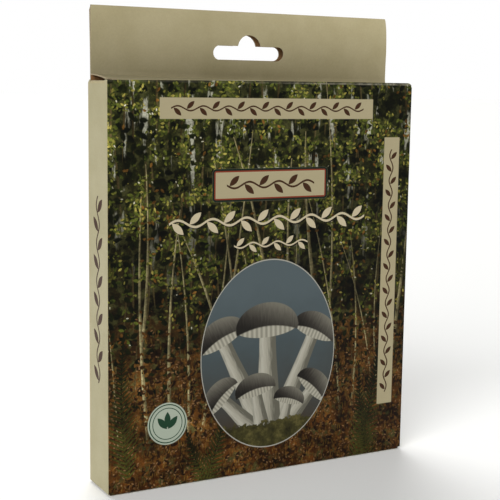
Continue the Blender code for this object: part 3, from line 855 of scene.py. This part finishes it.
seal = {
    "centre": (-43.5, 25.4, 0.0),
    "radius": 8.4,
    "softEdge": 0.08,
    "paper": "#9BA494",
    "ink": "#1F3B2A",
    "rings": ((0.8, 0.22), (2.2, 0.16)),  # how far in from its edge, half width
    "leaf": (1.3, 3.1, 1.0),  # half width, half length
    "leaves": ((-0.7, 2.2, 0.3), (0.7, -2.2, 0.3), (0.0, 0.0, 1.6)),  # turn, across, up
}


def paintSeal(tree, colour, flat):
    # a round pale seal with two green rings and three leaves
    flat = after(tree, flat, colour)
    radius, soft = seal["radius"], seal["softEdge"]
    local = addNode(tree, "ShaderNodeVectorMath", flat, seal["centre"], operation="SUBTRACT")
    reach = addNode(tree, "ShaderNodeVectorMath", local, operation="LENGTH")
    disc = addNode(tree, "ShaderNodeMapRange", reach, radius + soft, radius - soft, 0.0, 1.0)
    colour = addNode(tree, "ShaderNodeMix", disc, colour, ink(seal["paper"]), data_type="RGBA")
    parts = []
    for inset, half in seal["rings"]:
        parts.append(addNode(tree, "ShaderNodeMath", reach, radius - inset, half, operation="COMPARE"))
    for turn, shiftX, shiftY in seal["leaves"]:
        leaf = addNode(tree, "ShaderNodeVectorMath", local, (shiftX, shiftY, 0.0), operation="SUBTRACT")
        leaf = addNode(tree, "ShaderNodeVectorRotate", leaf, (0, 0, 0), -turn, rotation_type="Z_AXIS")
        leaf = addNode(tree, "ShaderNodeVectorMath", leaf, seal["leaf"], operation="DIVIDE")
        blade = bladeReach(tree, *addNode(tree, "ShaderNodeSeparateXYZ", leaf, pick=(0, 1)))
        parts.append(addNode(tree, "ShaderNodeMath", blade, 1.0, operation="LESS_THAN"))
    mask = parts[0]
    for part in parts[1:]:
        mask = addNode(tree, "ShaderNodeMath", mask, part, operation="MAXIMUM")
    return addNode(tree, "ShaderNodeMix", mask, colour, ink(seal["ink"]), data_type="RGBA")


# the front wall's top edge is rubbed pale in a thin line that climbs to the right
rub = {
    "tone": "#827D6C",
    "climb": 0.4 / 136,
    "starts": (156.5, 156.9, 0.0, 1.0),  # up to here the print is whole
    "ends": (157.15, 157.4, 1.0, 0.2),
    "across": (-20.0, 50.0, 0.12, 0.95),  # more to the right
    "patches": (3.0, 4.0, 0.6, 0.4, 0.58, 0.25, 1.0),
}


def paintRub(tree, place, colour, across, height):
    worn = clouds(tree, after(tree, place, colour), *rub["patches"])
    edge = addNode(tree, "ShaderNodeMath", across, -rub["climb"], height, operation="MULTIPLY_ADD")
    for value, key in ((edge, "starts"), (edge, "ends"), (across, "across")):
        share = addNode(tree, "ShaderNodeMapRange", value, *rub[key])
        worn = addNode(tree, "ShaderNodeMath", worn, share, operation="MULTIPLY")
    return addNode(tree, "ShaderNodeMix", worn, colour, ink(rub["tone"]), data_type="RGBA")


def frontMaterial():
    material, tree, shader, place = newMaterial("undergrowthPrintedBoard", printed=True)
    across, depth, height = addNode(tree, "ShaderNodeSeparateXYZ", place, pick=(0, 1, 2))
    flat = addNode(tree, "ShaderNodeCombineXYZ", across, height, 0.0)
    colour = paintUndergrowth(tree, flat, height)
    for x, z, *vine in paleVines:
        for tone, shift in (("shadow", labelInks["shadowShift"]), ("pale", 0.0)):
            colour = paintVine(tree, colour, flat, tone, x + shift, z - shift, *vine)
    for name in labels:
        colour = paintLabel(tree, colour, flat, name)
    colour = paintOval(tree, colour, flat)
    colour = paintSeal(tree, colour, flat)
    colour = paintRub(tree, place, colour, across, height)
    # the cream of the sides, in their cooler copy of the ink that paints the light on them, starts just
    # round the corners
    printed = addNode(tree, "ShaderNodeMath", depth, wood["printEnds"], operation="GREATER_THAN")
    side = creamInk(tree, after(tree, place, colour), cream["coolLitSideInks"])
    colour = addNode(tree, "ShaderNodeMix", printed, colour, side, data_type="RGBA")
    tree.links.new(colour, shader.inputs["Base Color"])
    finishVarnish(tree, shader, place)
    return material


frontBoard = frontMaterial()
print("materials ready")

# Folded board

boardSizes = {
    "thickness": 0.5,
    "creaseSteps": 6,
    "weld": 0.001,  # points nearer to each other than this become one
    "smoothAngle": 38,
}


def buildBoardTree():
    # Folds one panel: rounds the creases of its path, spreads each row of it to its width, bows it,
    # gives it the board's thickness and sets print, inside and cut edge.
    tree = bpy.data.node_groups.new("foldedBoard", "GeometryNodeTree")
    face = tree.interface
    for name, kind in (
        ("Path", "Geometry"),
        ("Run", "Vector"),
        ("Bow Axis", "Vector"),
        ("Columns", "Int"),
        ("Crease Steps", "Int"),
        ("Thickness", "Float"),
        ("Print", "Material"),
        ("Inside", "Material"),
        ("Cut Edge", "Material"),
    ):
        face.new_socket(name, in_out="INPUT", socket_type="NodeSocket" + kind)
    face.new_socket("Board", in_out="OUTPUT", socket_type="NodeSocketGeometry")
    given = tree.nodes.new("NodeGroupInput").outputs

    crease = addNode(tree, "GeometryNodeInputNamedAttribute", "crease", data_type="FLOAT")
    line = addNode(tree, "GeometryNodeMeshToCurve", given["Path"])
    line = addNode(tree, "GeometryNodeFilletCurve", line, given["Crease Steps"], crease, True, mode="POLY")
    rows = addNode(tree, "GeometryNodeAttributeDomainSize", line, component="CURVE")
    sheet = addNode(tree, "GeometryNodeMeshGrid", 1.0, 1.0, given["Columns"], rows)

    # each grid point reads its row of the path
    spot = addNode(tree, "GeometryNodeInputPosition")
    across, along = addNode(tree, "ShaderNodeSeparateXYZ", spot, pick=(0, 1))
    across = addNode(tree, "ShaderNodeMath", across, 0.5, operation="ADD")
    along = addNode(tree, "ShaderNodeMath", along, 0.5, operation="ADD")
    last = addNode(tree, "ShaderNodeMath", rows, 1.0, operation="SUBTRACT")
    row = addNode(tree, "ShaderNodeMath", along, last, operation="MULTIPLY")
    row = addNode(tree, "FunctionNodeFloatToInt", row, rounding_mode="ROUND")
    pathPoint = addNode(tree, "GeometryNodeSampleIndex", line, spot, row, data_type="FLOAT_VECTOR")
    reads = {}
    for name in ("spanLow", "spanHigh", "bow"):
        value = addNode(tree, "GeometryNodeInputNamedAttribute", name, data_type="FLOAT")
        reads[name] = addNode(tree, "GeometryNodeSampleIndex", line, value, row, data_type="FLOAT")
    spread = addNode(tree, "ShaderNodeMapRange", across, 0.0, 1.0, reads["spanLow"], reads["spanHigh"])
    spread = addNode(tree, "ShaderNodeVectorMath", given["Run"], spread, operation="SCALE")
    swell = addNode(tree, "ShaderNodeMath", across, math.pi, operation="MULTIPLY")
    swell = addNode(tree, "ShaderNodeMath", swell, operation="SINE")
    swell = addNode(tree, "ShaderNodeMath", swell, 2.0, operation="POWER")
    swell = addNode(tree, "ShaderNodeMath", swell, reads["bow"], operation="MULTIPLY")
    swell = addNode(tree, "ShaderNodeVectorMath", given["Bow Axis"], swell, operation="SCALE")
    spot = addNode(tree, "ShaderNodeVectorMath", pathPoint, spread, operation="ADD")
    spot = addNode(tree, "ShaderNodeVectorMath", spot, swell, operation="ADD")
    sheet = addNode(tree, "GeometryNodeSetPosition", sheet, None, spot)

    # the printed face stays, and its copy goes inwards with the cut edges between them
    inward = addNode(tree, "ShaderNodeMath", given["Thickness"], -1.0, operation="MULTIPLY")
    inner, top, side = addNode(
        tree, "GeometryNodeExtrudeMesh", sheet, None, None, inward, False, pick=(0, 1, 2), mode="FACES"
    )
    inner = addNode(tree, "GeometryNodeFlipFaces", inner)
    join = tree.nodes.new("GeometryNodeJoinGeometry")
    tree.links.new(sheet, join.inputs[0])
    tree.links.new(inner, join.inputs[0])
    weld = boardSizes["weld"] * mm
    board = addNode(tree, "GeometryNodeMergeByDistance", join.outputs[0], None, weld)
    board = addNode(tree, "GeometryNodeRealizeInstances", board)
    board = addNode(tree, "GeometryNodeSetMaterial", board, None, given["Print"])
    board = addNode(tree, "GeometryNodeSetMaterial", board, top, given["Inside"])
    board = addNode(tree, "GeometryNodeSetMaterial", board, side, given["Cut Edge"])
    tree.links.new(board, tree.nodes.new("NodeGroupOutput").inputs[0])
    return tree


boardTree = buildBoardTree()


def row(point, span, crease=0.0, bow=0.0):
    # one row of a folded path, in millimetres: where it lies, how far it spreads, crease radius, bow
    return {"point": point, "spanLow": span[0], "spanHigh": span[1], "crease": crease, "bow": bow}


def roundedEnd(long, radius, steps):
    # rows over a flap's two rounded corners, from its tip: how far out each is, and how far its ends
    # draw in
    turns = [math.radians(90 * i / steps) for i in range(steps + 1)]
    return [(long - radius + radius * math.cos(a), radius - radius * math.sin(a)) for a in turns]


def settleMesh(piece):
    # turns the evaluated piece into a plain mesh, smooth over the creases and sharp at the cut edges
    bpy.context.view_layer.update()
    shown = piece.evaluated_get(bpy.context.evaluated_depsgraph_get())
    made = bpy.data.meshes.new_from_object(shown)
    piece.modifiers.clear()
    piece.data = made
    if made.materials[0] is None:
        made.materials.pop(index=0)
    made.shade_smooth()
    made.set_sharp_from_angle(angle=math.radians(boardSizes["smoothAngle"]))
    return piece


def foldBoard(name, rows, run, printed, columns=2, bowAxis=(0, 0, 0), inside=rawBoard):
    line = bpy.data.meshes.new(name)
    links = [(i, i + 1) for i in range(len(rows) - 1)]
    line.from_pydata([Vector(r["point"]) * mm for r in rows], links, [])
    for key in ("spanLow", "spanHigh", "crease", "bow"):
        line.attributes.new(key, "FLOAT", "POINT").data.foreach_set("value", [r[key] * mm for r in rows])
    piece = bpy.data.objects.new(name, line)
    bpy.context.scene.collection.objects.link(piece)
    modifier = piece.modifiers.new("foldedBoard", "NODES")
    modifier.node_group = boardTree
    settings = {
        "Run": run,
        "Bow Axis": bowAxis,
        "Columns": columns,
        "Crease Steps": boardSizes["creaseSteps"],
        "Thickness": boardSizes["thickness"] * mm,
        "Print": printed,
        "Inside": inside,
        "Cut Edge": cutBoard,
    }
    for socket in boardTree.interface.items_tree:
        if socket.in_out == "INPUT" and socket.name in settings:
            modifier[socket.identifier] = settings[socket.name]
    return settleMesh(piece)


def fitPiece(piece, node, body, bend=None):
    # marks where the print lies, hides the frame's part that it stands for and puts the piece on its body;
    # with bend given it is set in place in the world instead, and bend's body and ends are not used
    spots = [c for vertex in piece.data.vertices for c in vertex.co]
    piece.data.attributes.new("restPlace", "FLOAT_VECTOR", "POINT").data.foreach_set("vector", spots)
    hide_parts(node)
    if bend:
        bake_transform(piece)
    else:
        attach(piece, body)


# Walls

walls = {
    "crease": 0.5,  # outer radius of a folded edge
    "wrap": 1.6,  # how far the wide walls go round onto the sides
    "lift": 0.2,  # the walls come this much nearer the base than the frame's panels
    "bulge": 0.25,  # the wide walls swell a little
    "rows": 16,  # steps across a wide wall
    "columns": 17,  # and points up it
    "stand": (0.1, 0.85),  # how far the front wall stands above the frame's panel, left and right
    "sideStand": 0.2,  # and the side walls above theirs
    "corner": 2.4,  # rounding of the front wall's upper right corner
    "footCorner": 0.9,  # rounding of its lower right corner
    "turns": (50, 35, 20, 0),  # degrees round these corners, from the crease
    "cutBack": (0.7, 0.4),  # how much of the two roundings is left off the wrap beside them
    "notch": 0.8,  # depth of the cut at the top of each crease
    "earStep": 0.02,  # how suddenly a side wall's top dips
    "headerStep": 0.04,  # how suddenly the header rises from the back wall
}


def buildFrontWall():
    # from its right wrap to its left one; its top edge climbs to the right
    low, high = boxMm("front_panel")
    foot, edge, y = low.z - walls["lift"], high.x, low.y
    left, right = (high.z + stand for stand in walls["stand"])
    corner, footCorner, steps = walls["corner"], walls["footCorner"], walls["rows"]
    cutTop, cutFoot = walls["cutBack"]
    wrapSpan = (foot + cutFoot * footCorner, right - cutTop * corner)
    rows = [
        row((edge, y + walls["wrap"], 0), wrapSpan),
        row((edge, y, 0), wrapSpan, walls["crease"]),
    ]
    for turn in walls["turns"]:
        a = math.radians(turn)
        x, drop = edge - corner + corner * math.sin(a), 1 - math.cos(a)
        rows.append(row((x, y, 0), (foot + footCorner * drop, right - corner * drop)))
    for i in range(1, steps + 1):
        x = edge - corner - (2 * edge - 2 * corner) * i / steps
        bow = walls["bulge"] * math.cos(math.pi * x / (2 * edge)) if i < steps else 0.0
        top = right + (left - right) * (i / steps) ** 2
        rows.append(row((x, y, 0), (foot, top), bow=bow))
    rows.append(row((-edge, y, 0), (foot, left), walls["crease"]))
    rows.append(row((-edge, y + walls["wrap"], 0), (foot, left)))
    wall = foldBoard("frontWall", rows, (0, 0, 1), frontBoard, walls["columns"], (0, -1, 0))
    fitPiece(wall, "front_panel", "carton")


def buildSideWall(name, side, node):
    # its top edge dips where the dust flap folds over, between an ear at each end
    low, high = boxMm(node)
    flapLow, flapHigh = boxMm(node.replace("side_panel", "dust_flap"))
    x = side * max(abs(low.x), abs(high.x))
    front = boxMm("front_panel")[0].y + walls["wrap"]
    back = boxMm("back_panel")[1].y - walls["wrap"]
    foot, step = low.z - walls["lift"], walls["earStep"]
    full, dip = (foot, high.z + walls["sideStand"]), (foot, high.z - dustFlaps["dip"])
    rows = [
        row((x, front, 0), full),
        row((x, flapLow.y - step, 0), full),
        row((x, flapLow.y, 0), dip),
        row((x, flapHigh.y, 0), dip),
        row((x, flapHigh.y + step, 0), full),
        row((x, back, 0), full),
    ]
    wall = foldBoard(name, rows if side < 0 else rows[::-1], (0, 0, 1), sideBoard)
    fitPiece(wall, node, "carton")


slotSizes = {
    "width": 32.0,
    "bar": 5.5,
    "domeRadius": 5.27,
    "domeRise": 4.4,
    "frontMiddle": (-0.9, 168.65),
    "rearMiddle": (-1.4, 168.7),
    "steps": 10,
    "depth": (2.0, 14.0),  # the cutter's reach, from front to back
}


def slotPoints(middle):
    # the euro slot's outline in (x, z): two round ends and a low dome between them
    x, z = middle
    end = slotSizes["bar"] / 2
    reach = slotSizes["width"] / 2 - end
    dome, steps = slotSizes["domeRadius"], slotSizes["steps"]
    drop = dome - slotSizes["domeRise"]
    spring = math.degrees(math.asin(drop / dome))
    points = []
    for centreX, centreZ, radius, start, turn in (
        (x + reach, z, end, -90, 180),
        (x, z + end - drop, dome, spring, 180 - 2 * spring),
        (x - reach, z, end, 90, 180),
    ):
        for i in range(steps + 1):
            a = math.radians(start + turn * i / steps)
            points.append((centreX + radius * math.cos(a), centreZ + radius * math.sin(a)))
    return points


def cutSlot(piece, middle):
    # cuts the hang slot through a header ply; the cut faces show the board's edge
    outline = slotPoints(middle)
    count = len(outline)
    verts = [Vector((x, y, z)) * mm for y in slotSizes["depth"] for x, z in outline]
    faces = [tuple(range(count)), tuple(range(2 * count - 1, count - 1, -1))]
    faces += [(i, i + count, (i + 1) % count + count, (i + 1) % count) for i in range(count)]
    mesh = bpy.data.meshes.new("slotCutter")
    mesh.from_pydata(verts, [], faces)
    mesh.materials.append(cutBoard)
    cutter = bpy.data.objects.new("slotCutter", mesh)
    bpy.context.scene.collection.objects.link(cutter)
    modifier = piece.modifiers.new("hangSlot", "BOOLEAN")
    modifier.operation = "DIFFERENCE"
    modifier.solver = "EXACT"
    modifier.material_mode = "TRANSFER"
    modifier.object = cutter
    settleMesh(piece)
    bpy.data.objects.remove(cutter)


def buildBackWall():
    # wraps onto the left side; its right edge is cut, over the seam flap; the header's rear ply goes on up
    low, high = boxMm("back_panel")
    crest = boxMm("header_front_ply")[1]
    foot, top = low.z - walls["lift"], boxMm("left_side_panel")[1].z
    narrow, edge, y = crest.x - header["taper"], high.x, high.y
    step, steps = walls["headerStep"], walls["rows"]
    short, notched, tall = (foot, top), (foot, top - walls["notch"]), (foot, crest.z - header["rearRun"])
    rows = [
        row((-edge, y - walls["wrap"], 0), short),
        row((-edge, y, 0), notched, walls["crease"]),
        row((-narrow + step, y, 0), short),
        row((-narrow + 2 * step, y, 0), tall),
    ]
    for i in range(1, steps):
        x = -narrow + 2 * narrow * i / steps
        rows.append(row((x, y, 0), tall, bow=walls["bulge"] * math.cos(math.pi * x / (2 * edge))))
    rows += [
        row((narrow - 2 * step, y, 0), tall),
        row((narrow - step, y, 0), short),
        row((edge, y, 0), notched),
    ]
    columns = walls["columns"]
    wall = foldBoard("backWall", rows, (0, 0, 1), backBoard, columns, (0, 1, 0), pliesBoard)
    for vertex in wall.data.vertices:
        # the header's rear ply spreads to its top on the left, and has the front one's edge on the right
        height = vertex.co.z / mm
        if height > top:
            spread = (header["taper"] + header["overhang"]) * (height - top) / (crest.z - top)
            reach = narrow + spread if vertex.co.x < 0 else headerSpan(height)[1]
            vertex.co.x *= reach / narrow
    cutSlot(wall, slotSizes["rearMiddle"])
    fitPiece(wall, "back_panel", "carton")


seamFlap = {
    "crease": 0.4,
    "gap": 0.05,  # between it and the back wall
    "taper": 6.0,  # how far its free edge is cut back at each end
    "square": 1.0,  # it has its full height from here to its fold
}


def buildSeamFlap():
    # folds in from the right wall's rear edge and lies inside the back wall
    low, high = boxMm("glue_flap")
    sideLow, sideHigh = boxMm("right_side_panel")
    backLow, backHigh = boxMm("back_panel")
    foot, top, edge = sideLow.z - walls["lift"], sideHigh.z, sideHigh.x
    y, taper = backLow.y - seamFlap["gap"], seamFlap["taper"]
    rows = [
        row((low.x, y, 0), (low.z + taper, high.z - taper)),
        row((high.x - seamFlap["square"], y, 0), (low.z, high.z)),
        row((edge, y, 0), (foot, top - walls["notch"]), seamFlap["crease"]),
        row((edge, backHigh.y - walls["wrap"], 0), (foot, top)),
    ]
    flap = foldBoard("seamFlap", rows, (0, 0, 1), creamBoard)
    fitPiece(flap, "glue_flap", "carton")


dustFlaps = {
    "dip": 1.3,  # how far the crease lies below the wall's ears
    "top": 0.2,  # and the flap itself
    "taper": (1.0, 4.2),  # how far it draws in to its tip, front and back
    "corner": 2.5,
    "cornerSteps": 6,
    "square": 1.2,  # it has its full width from here to its crease
    "crease": 0.8,
    "bend": (0.2, 1.4),  # the two ends handed on as its bend: this far up the wall and this far in
}


def buildDustFlap(name, side, node, body):
    # folds in over the contents from the top edge of a side wall
    low, high = boxMm(node)
    ear, edge = boxMm("left_side_panel")[1].z, boxMm("right_side_panel")[1].x
    top, foot = ear + walls["sideStand"] - dustFlaps["top"], ear - dustFlaps["dip"]
    long = edge - min(abs(low.x), abs(high.x))
    slope = (top - low.z - boardSizes["thickness"]) / long
    front, back = low.y + dustFlaps["taper"][0], high.y - dustFlaps["taper"][1]
    rows = []
    for out, drawn in roundedEnd(long, dustFlaps["corner"], dustFlaps["cornerSteps"]):
        rows.append(row((side * (edge - out), 0, top - slope * out), (front + drawn, back - drawn)))
    square, full = dustFlaps["square"], (low.y, high.y)
    rows.append(row((side * (edge - square), 0, top - slope * square), full))
    rows.append(row((side * edge, 0, top), full, dustFlaps["crease"]))
    rows.append(row((side * edge, 0, foot), full))
    flap = foldBoard(name, rows if side < 0 else rows[::-1], (0, 1, 0), creamBoard)
    up, run = dustFlaps["bend"]
    start, end = (side * edge * mm, 0, (foot + up) * mm), (side * (edge - run) * mm, 0, top * mm)
    fitPiece(flap, node, body, ("carton", start, end))


header = {
    "footGap": 0.5,  # between its plies
    "topGap": 0.2,
    "edgeBow": 0.5,  # its side edges stand off the rear ply by this, most near the fold
    "edgeSkew": 2.0,
    "middleBow": 2.5,  # and its middle by this, most half way up
    "skew": 0.95,
    "overhang": 0.2,  # how far it reaches beyond the frame's ply at its left edge
    "taper": 0.25,  # how far its right edge draws in to its foot
    "shoulder": 0.6,  # and to its top
    "shoulderRun": 14.5,
    "nick": (0.5, 0.25),  # how far the corners at the fold are cut back, left and right
    "nickRun": 4.0,
    "rearRun": 1.8,  # how far the front ply comes down behind the fold
    "foldRun": 1.0,  # how far below the fold its last row lies
    "foldRadius": 0.62,
    "rows": 16,
    "columns": 49,
    "lidRun": 1.4,  # how far the lid's board goes up over the hinge
}


def headerSpan(z):
    # the header's right edge draws in a little to its foot and its top, and its corners are cut back
    low, high = boxMm("header_front_ply")
    drop = high.z - z
    taper = header["taper"] * drop / (high.z - low.z)
    shoulder = header["shoulder"] * max(0.0, 1 - drop / header["shoulderRun"])
    nick = max(0.0, 1 - drop / header["nickRun"]) ** 2
    left = low.x - header["overhang"] + nick * header["nick"][0]
    return left, high.x - taper - shoulder - nick * header["nick"][1]


def plyRow(z):
    # the front ply stands off the rear one, most in the middle
    low, high = boxMm("header_front_ply")
    share = (z - low.z) / (high.z - boardSizes["thickness"] - low.z)
    middle = header["middleBow"] * math.sin(math.pi * share ** header["skew"])
    edge = header["edgeBow"] * math.sin(math.pi * share ** header["edgeSkew"])
    gap = header["footGap"] + (header["topGap"] - header["footGap"]) * share + edge
    y = boxMm("back_panel")[0].y - gap - boardSizes["thickness"]
    return row((0, y, z), headerSpan(z), bow=middle - edge)


def buildHeader():
    # front ply, from just above the lid's hinge up over the fold to the rear ply
    low, high = boxMm("header_front_ply")
    back = boxMm("back_panel")[1].y
    first, top, steps = low.z + header["lidRun"], high.z, header["rows"]
    last, end = top - header["foldRun"], top - header["rearRun"]
    rows = [plyRow(first + (last - first) * i / steps) for i in range(steps + 1)]
    front = plyRow(top - boardSizes["thickness"])["point"][1]
    rows.append(row((0, front, top), headerSpan(top), header["foldRadius"]))
    rows.append(row((0, back, top), headerSpan(top), header["foldRadius"]))
    rows.append(row((0, back, end), headerSpan(end)))
    columns = header["columns"]
    ply = foldBoard("headerPly", rows, (1, 0, 0), shadedCreamBoard, columns, (0, -1, 0), pliesBoard)
    cutSlot(ply, slotSizes["frontMiddle"])
    sinkRight(ply)
    fitPiece(ply, "header_front_ply", "carton")


# Lid. It is folded level with one rise to its hinge, and then its right end is pushed down.

lidSizes = {
    "rise": 2.2,  # from its front edge to its hinge, as folded
    "arch": 1.7,
    "rows": 14,
    "crease": 0.3,
    "inset": 0.1,
    "tuckRun": 1.9,  # the tuck's board goes this far over the lid's front edge
    "hingeRun": 1.2,  # its last row lies this far from the hinge
    "bend": (0.9, 0.8),  # the two ends handed on as its bend: this far above the hinge and this far ahead of it
    "frontLift": (0.4, 0.7),  # how far the front edge stands above the frame's, left and right
    "endRise": (2.05, 0.2),  # the rise to the hinge after the push, left and right
    "sag": 2.8,  # how soon it drops to the right
    "fade": (160.8, 166.5),  # the header's foot follows the lid up to here
}


def lidLine():
    # hinge y, front y, level at the front
    hingeAt = next(j for j in frame["joints"] if j["name"] == "lid_crease")["pos_m"]
    return hingeAt[1] / mm, boxMm("front_panel")[1].y, boxMm("left_side_panel")[1].z


def lidRow(y, span, crease=0.0):
    # one row of the lid as folded
    hinge, front, level = lidLine()
    share = (hinge - y) / (hinge - front)
    return row((0, y, level + lidSizes["rise"] * (1 - share ** lidSizes["arch"])), span, crease)


def sinkRight(piece):
    # the closed lid isn't level: its front edge climbs to the right and its hinge drops
    hinge, front, _ = lidLine()
    reach = boxMm("front_panel")[1].x
    leftLift, rightLift = lidSizes["frontLift"]
    leftRise, rightRise = lidSizes["endRise"]
    low, high = lidSizes["fade"]
    for vertex in piece.data.vertices:
        x, y, z = vertex.co / mm
        across = (x + reach) / (2 * reach)
        share = min(1.0, max(0.0, (hinge - y) / (hinge - front)))
        lift = leftLift + (rightLift - leftLift) * across
        rise = rightRise + (leftRise - rightRise) * (1 - min(1.0, across)) ** lidSizes["sag"]
        fade = min(1.0, max(0.0, (high - z) / (high - low)))
        vertex.co.z += (lift + (rise - lidSizes["rise"]) * (1 - share ** lidSizes["arch"])) * fade * mm


def lidSpan():
    low, high = boxMm("top_panel")
    return low.x + lidSizes["inset"], high.x - lidSizes["inset"]


def buildLid():
    hinge, _, level = lidLine()
    plyFoot, steps = boxMm("header_front_ply")[0].z, lidSizes["rows"]
    start, last = boxMm("top_panel")[0].y + lidSizes["tuckRun"], hinge - lidSizes["hingeRun"]
    rows = [lidRow(start + (last - start) * i / steps, lidSpan()) for i in range(steps + 1)]
    rows.append(lidRow(hinge, headerSpan(plyFoot), lidSizes["crease"]))
    rows.append(plyRow(plyFoot + header["lidRun"]))
    lid = foldBoard("lid", rows, (1, 0, 0), shadedCreamBoard, header["columns"], (0, -1, 0))
    sinkRight(lid)
    crest = level + lidSizes["rise"]
    up, run = lidSizes["bend"]
    start, end = (0, hinge * mm, (crest + up) * mm), (0, (hinge - run) * mm, crest * mm)
    fitPiece(lid, "top_panel", "lid", ("carton", start, end))


tuckSizes = {
    "lean": 36.0,
    "long": 9.6,
    "corner": 5.0,
    "cornerSteps": 8,
    "square": 2.0,  # it has its full width from its crease to here
    "ahead": 0.6,  # how far its crease lies before the frame's lid
    "bend": (-8.2, -8.9, 0.9),  # the two ends handed on as its bend: from the first y to the second, this far down
}


def buildTuck():
    # from the lid's front edge down behind the front wall, leaning in; its free corners are rounded
    low, high = boxMm("tuck_flap")
    level, lidFront = lidLine()[2], boxMm("top_panel")[0].y
    lean, crease = math.radians(tuckSizes["lean"]), lidFront - tuckSizes["ahead"]
    ends = roundedEnd(tuckSizes["long"], tuckSizes["corner"], tuckSizes["cornerSteps"])
    rows = []
    for down, drawn in ends + [(tuckSizes["square"], 0.0)]:
        spot = (0, crease + math.sin(lean) * down, level - math.cos(lean) * down)
        rows.append(row(spot, (low.x + drawn, high.x - drawn)))
    rows.append(row((0, crease, level), (low.x, high.x), lidSizes["crease"]))
    rows.append(lidRow(lidFront + lidSizes["tuckRun"], lidSpan()))
    flap = foldBoard("tuckFlap", rows, (1, 0, 0), shadedCreamBoard)
    sinkRight(flap)
    first, second, down = tuckSizes["bend"]
    start, end = (0, first * mm, level * mm), (0, second * mm, (level - down) * mm)
    fitPiece(flap, "tuck_flap", "tuck", ("lid", start, end))


baseSizes = {"inset": (0.2, 1.0), "rear": 0.3, "crease": 0.55}  # inset at its left and right ends


def buildBase():
    # the outer bottom flap folds back from the front wall's foot; the inner flaps keep the frame's shape
    low, high = boxMm("bottom_panel")
    foot = boxMm("front_panel")[0].z - walls["lift"]
    span = (low.x + baseSizes["inset"][0], high.x - baseSizes["inset"][1])
    rows = [
        row((0, high.y - baseSizes["rear"], low.z), span),
        row((0, low.y, low.z), span, baseSizes["crease"]),
        row((0, low.y, foot), span),
    ]
    flap = foldBoard("baseFlap", rows, (1, 0, 0), frontBoard)
    fitPiece(flap, "bottom_panel", "carton")
    for node in ("bottom_inner_flap", "bottom_left_dust_flap", "bottom_right_dust_flap"):
        slots = frame["nodes"][node].data.materials
        slots.clear()
        slots.append(rawBoard)


buildFrontWall()
buildSideWall("leftWall", -1, "left_side_panel")
buildSideWall("rightWall", 1, "right_side_panel")
buildBackWall()
buildSeamFlap()
print("walls folded")
buildHeader()
buildLid()
buildTuck()
buildDustFlap("leftDustFlap", -1, "left_dust_flap", "left_dust")
buildDustFlap("rightDustFlap", 1, "right_dust_flap", "right_dust")
buildBase()
print("header, lid and flaps folded")

# Studio

studio = {
    "floor": "#F2F2F0",
    "floorRoughness": 0.7,
    "floorSize": 40.0,
    "floorDrop": 0.0003,
    "ambient": 0.22,  # how much the white surroundings light the carton
    "backdrop": 1.0,  # and how bright they look, which is as bright as the floor
    # strength, where it comes from, how soft in degrees; the back one lights the floor
    "lights": {
        "key": (2.9, (-0.70, -0.54, 0.46), 40),
        "back": (2.0, (0.1, 0.64, 0.76), 45),
        "fill": (0.25, (0.75, -0.6, 0.3), 60),
    },
}


def buildStudio():
    mesh = bpy.data.meshes.new("floor")
    half = studio["floorSize"] / 2
    corners = [(x * half, y * half, 0) for x, y in ((-1, -1), (1, -1), (1, 1), (-1, 1))]
    mesh.from_pydata(corners, [], [(0, 1, 2, 3)])
    floor = bpy.data.objects.new("floor", mesh)
    floor.location.z = -studio["floorDrop"]
    bpy.context.scene.collection.objects.link(floor)
    material = bpy.data.materials.new("paleStudioFloor")
    material.use_nodes = True
    shader = material.node_tree.nodes["Principled BSDF"]
    shader.inputs["Base Color"].default_value = ink(studio["floor"])
    shader.inputs["Roughness"].default_value = studio["floorRoughness"]
    mesh.materials.append(material)
    world = bpy.data.worlds.new("softWhite")
    world.use_nodes = True
    # the backdrop is plain white to look at, and lights the carton only softly
    tree = world.node_tree
    seen = addNode(tree, "ShaderNodeLightPath")
    strength = addNode(tree, "ShaderNodeMapRange", seen, 0.0, 1.0, studio["ambient"], studio["backdrop"])
    tree.links.new(strength, tree.nodes["Background"].inputs["Strength"])
    tree.nodes["Background"].inputs["Color"].default_value = ink("#FFFFFF")
    bpy.context.scene.world = world
    for name, (energy, place, spread) in studio["lights"].items():
        light = bpy.data.lights.new(name, "SUN")
        light.energy = energy
        light.angle = math.radians(spread)
        lamp = bpy.data.objects.new(name, light)
        lamp.location = Vector(place)
        lamp.rotation_euler = (-lamp.location).to_track_quat("-Z", "Y").to_euler()
        bpy.context.scene.collection.objects.link(lamp)
    bpy.context.scene.view_settings.view_transform = "Standard"


camera = {
    "lens": 82.12,
    "sensor": 36.0,
    "nearest": 0.01,
    "place": (-0.2208, -0.4018, 0.1544),
    "yaw": 28.49,
    "pitch": 8.02,
    "roll": 0.821,
}


def buildCamera():
    # the photograph's view: turned to the right, looking slightly down, with a slight roll
    yaw, pitch, roll = (math.radians(camera[key]) for key in ("yaw", "pitch", "roll"))
    ahead = Vector((math.sin(yaw) * math.cos(pitch), math.cos(yaw) * math.cos(pitch), -math.sin(pitch)))
    right = Vector((math.cos(yaw), -math.sin(yaw), 0))
    up = right.cross(ahead)
    axisX = math.cos(roll) * right + math.sin(roll) * up
    axisY = -math.sin(roll) * right + math.cos(roll) * up
    turn = Matrix((axisX, axisY, -ahead)).transposed().to_4x4()
    view = bpy.data.cameras.new("photoView")
    view.lens = camera["lens"]
    view.sensor_width = camera["sensor"]
    view.clip_start = camera["nearest"]
    made = bpy.data.objects.new("photoView", view)
    made.matrix_world = Matrix.Translation(camera["place"]) @ turn
    bpy.context.scene.collection.objects.link(made)
    bpy.context.scene.camera = made


buildStudio()
buildCamera()
print("studio ready")
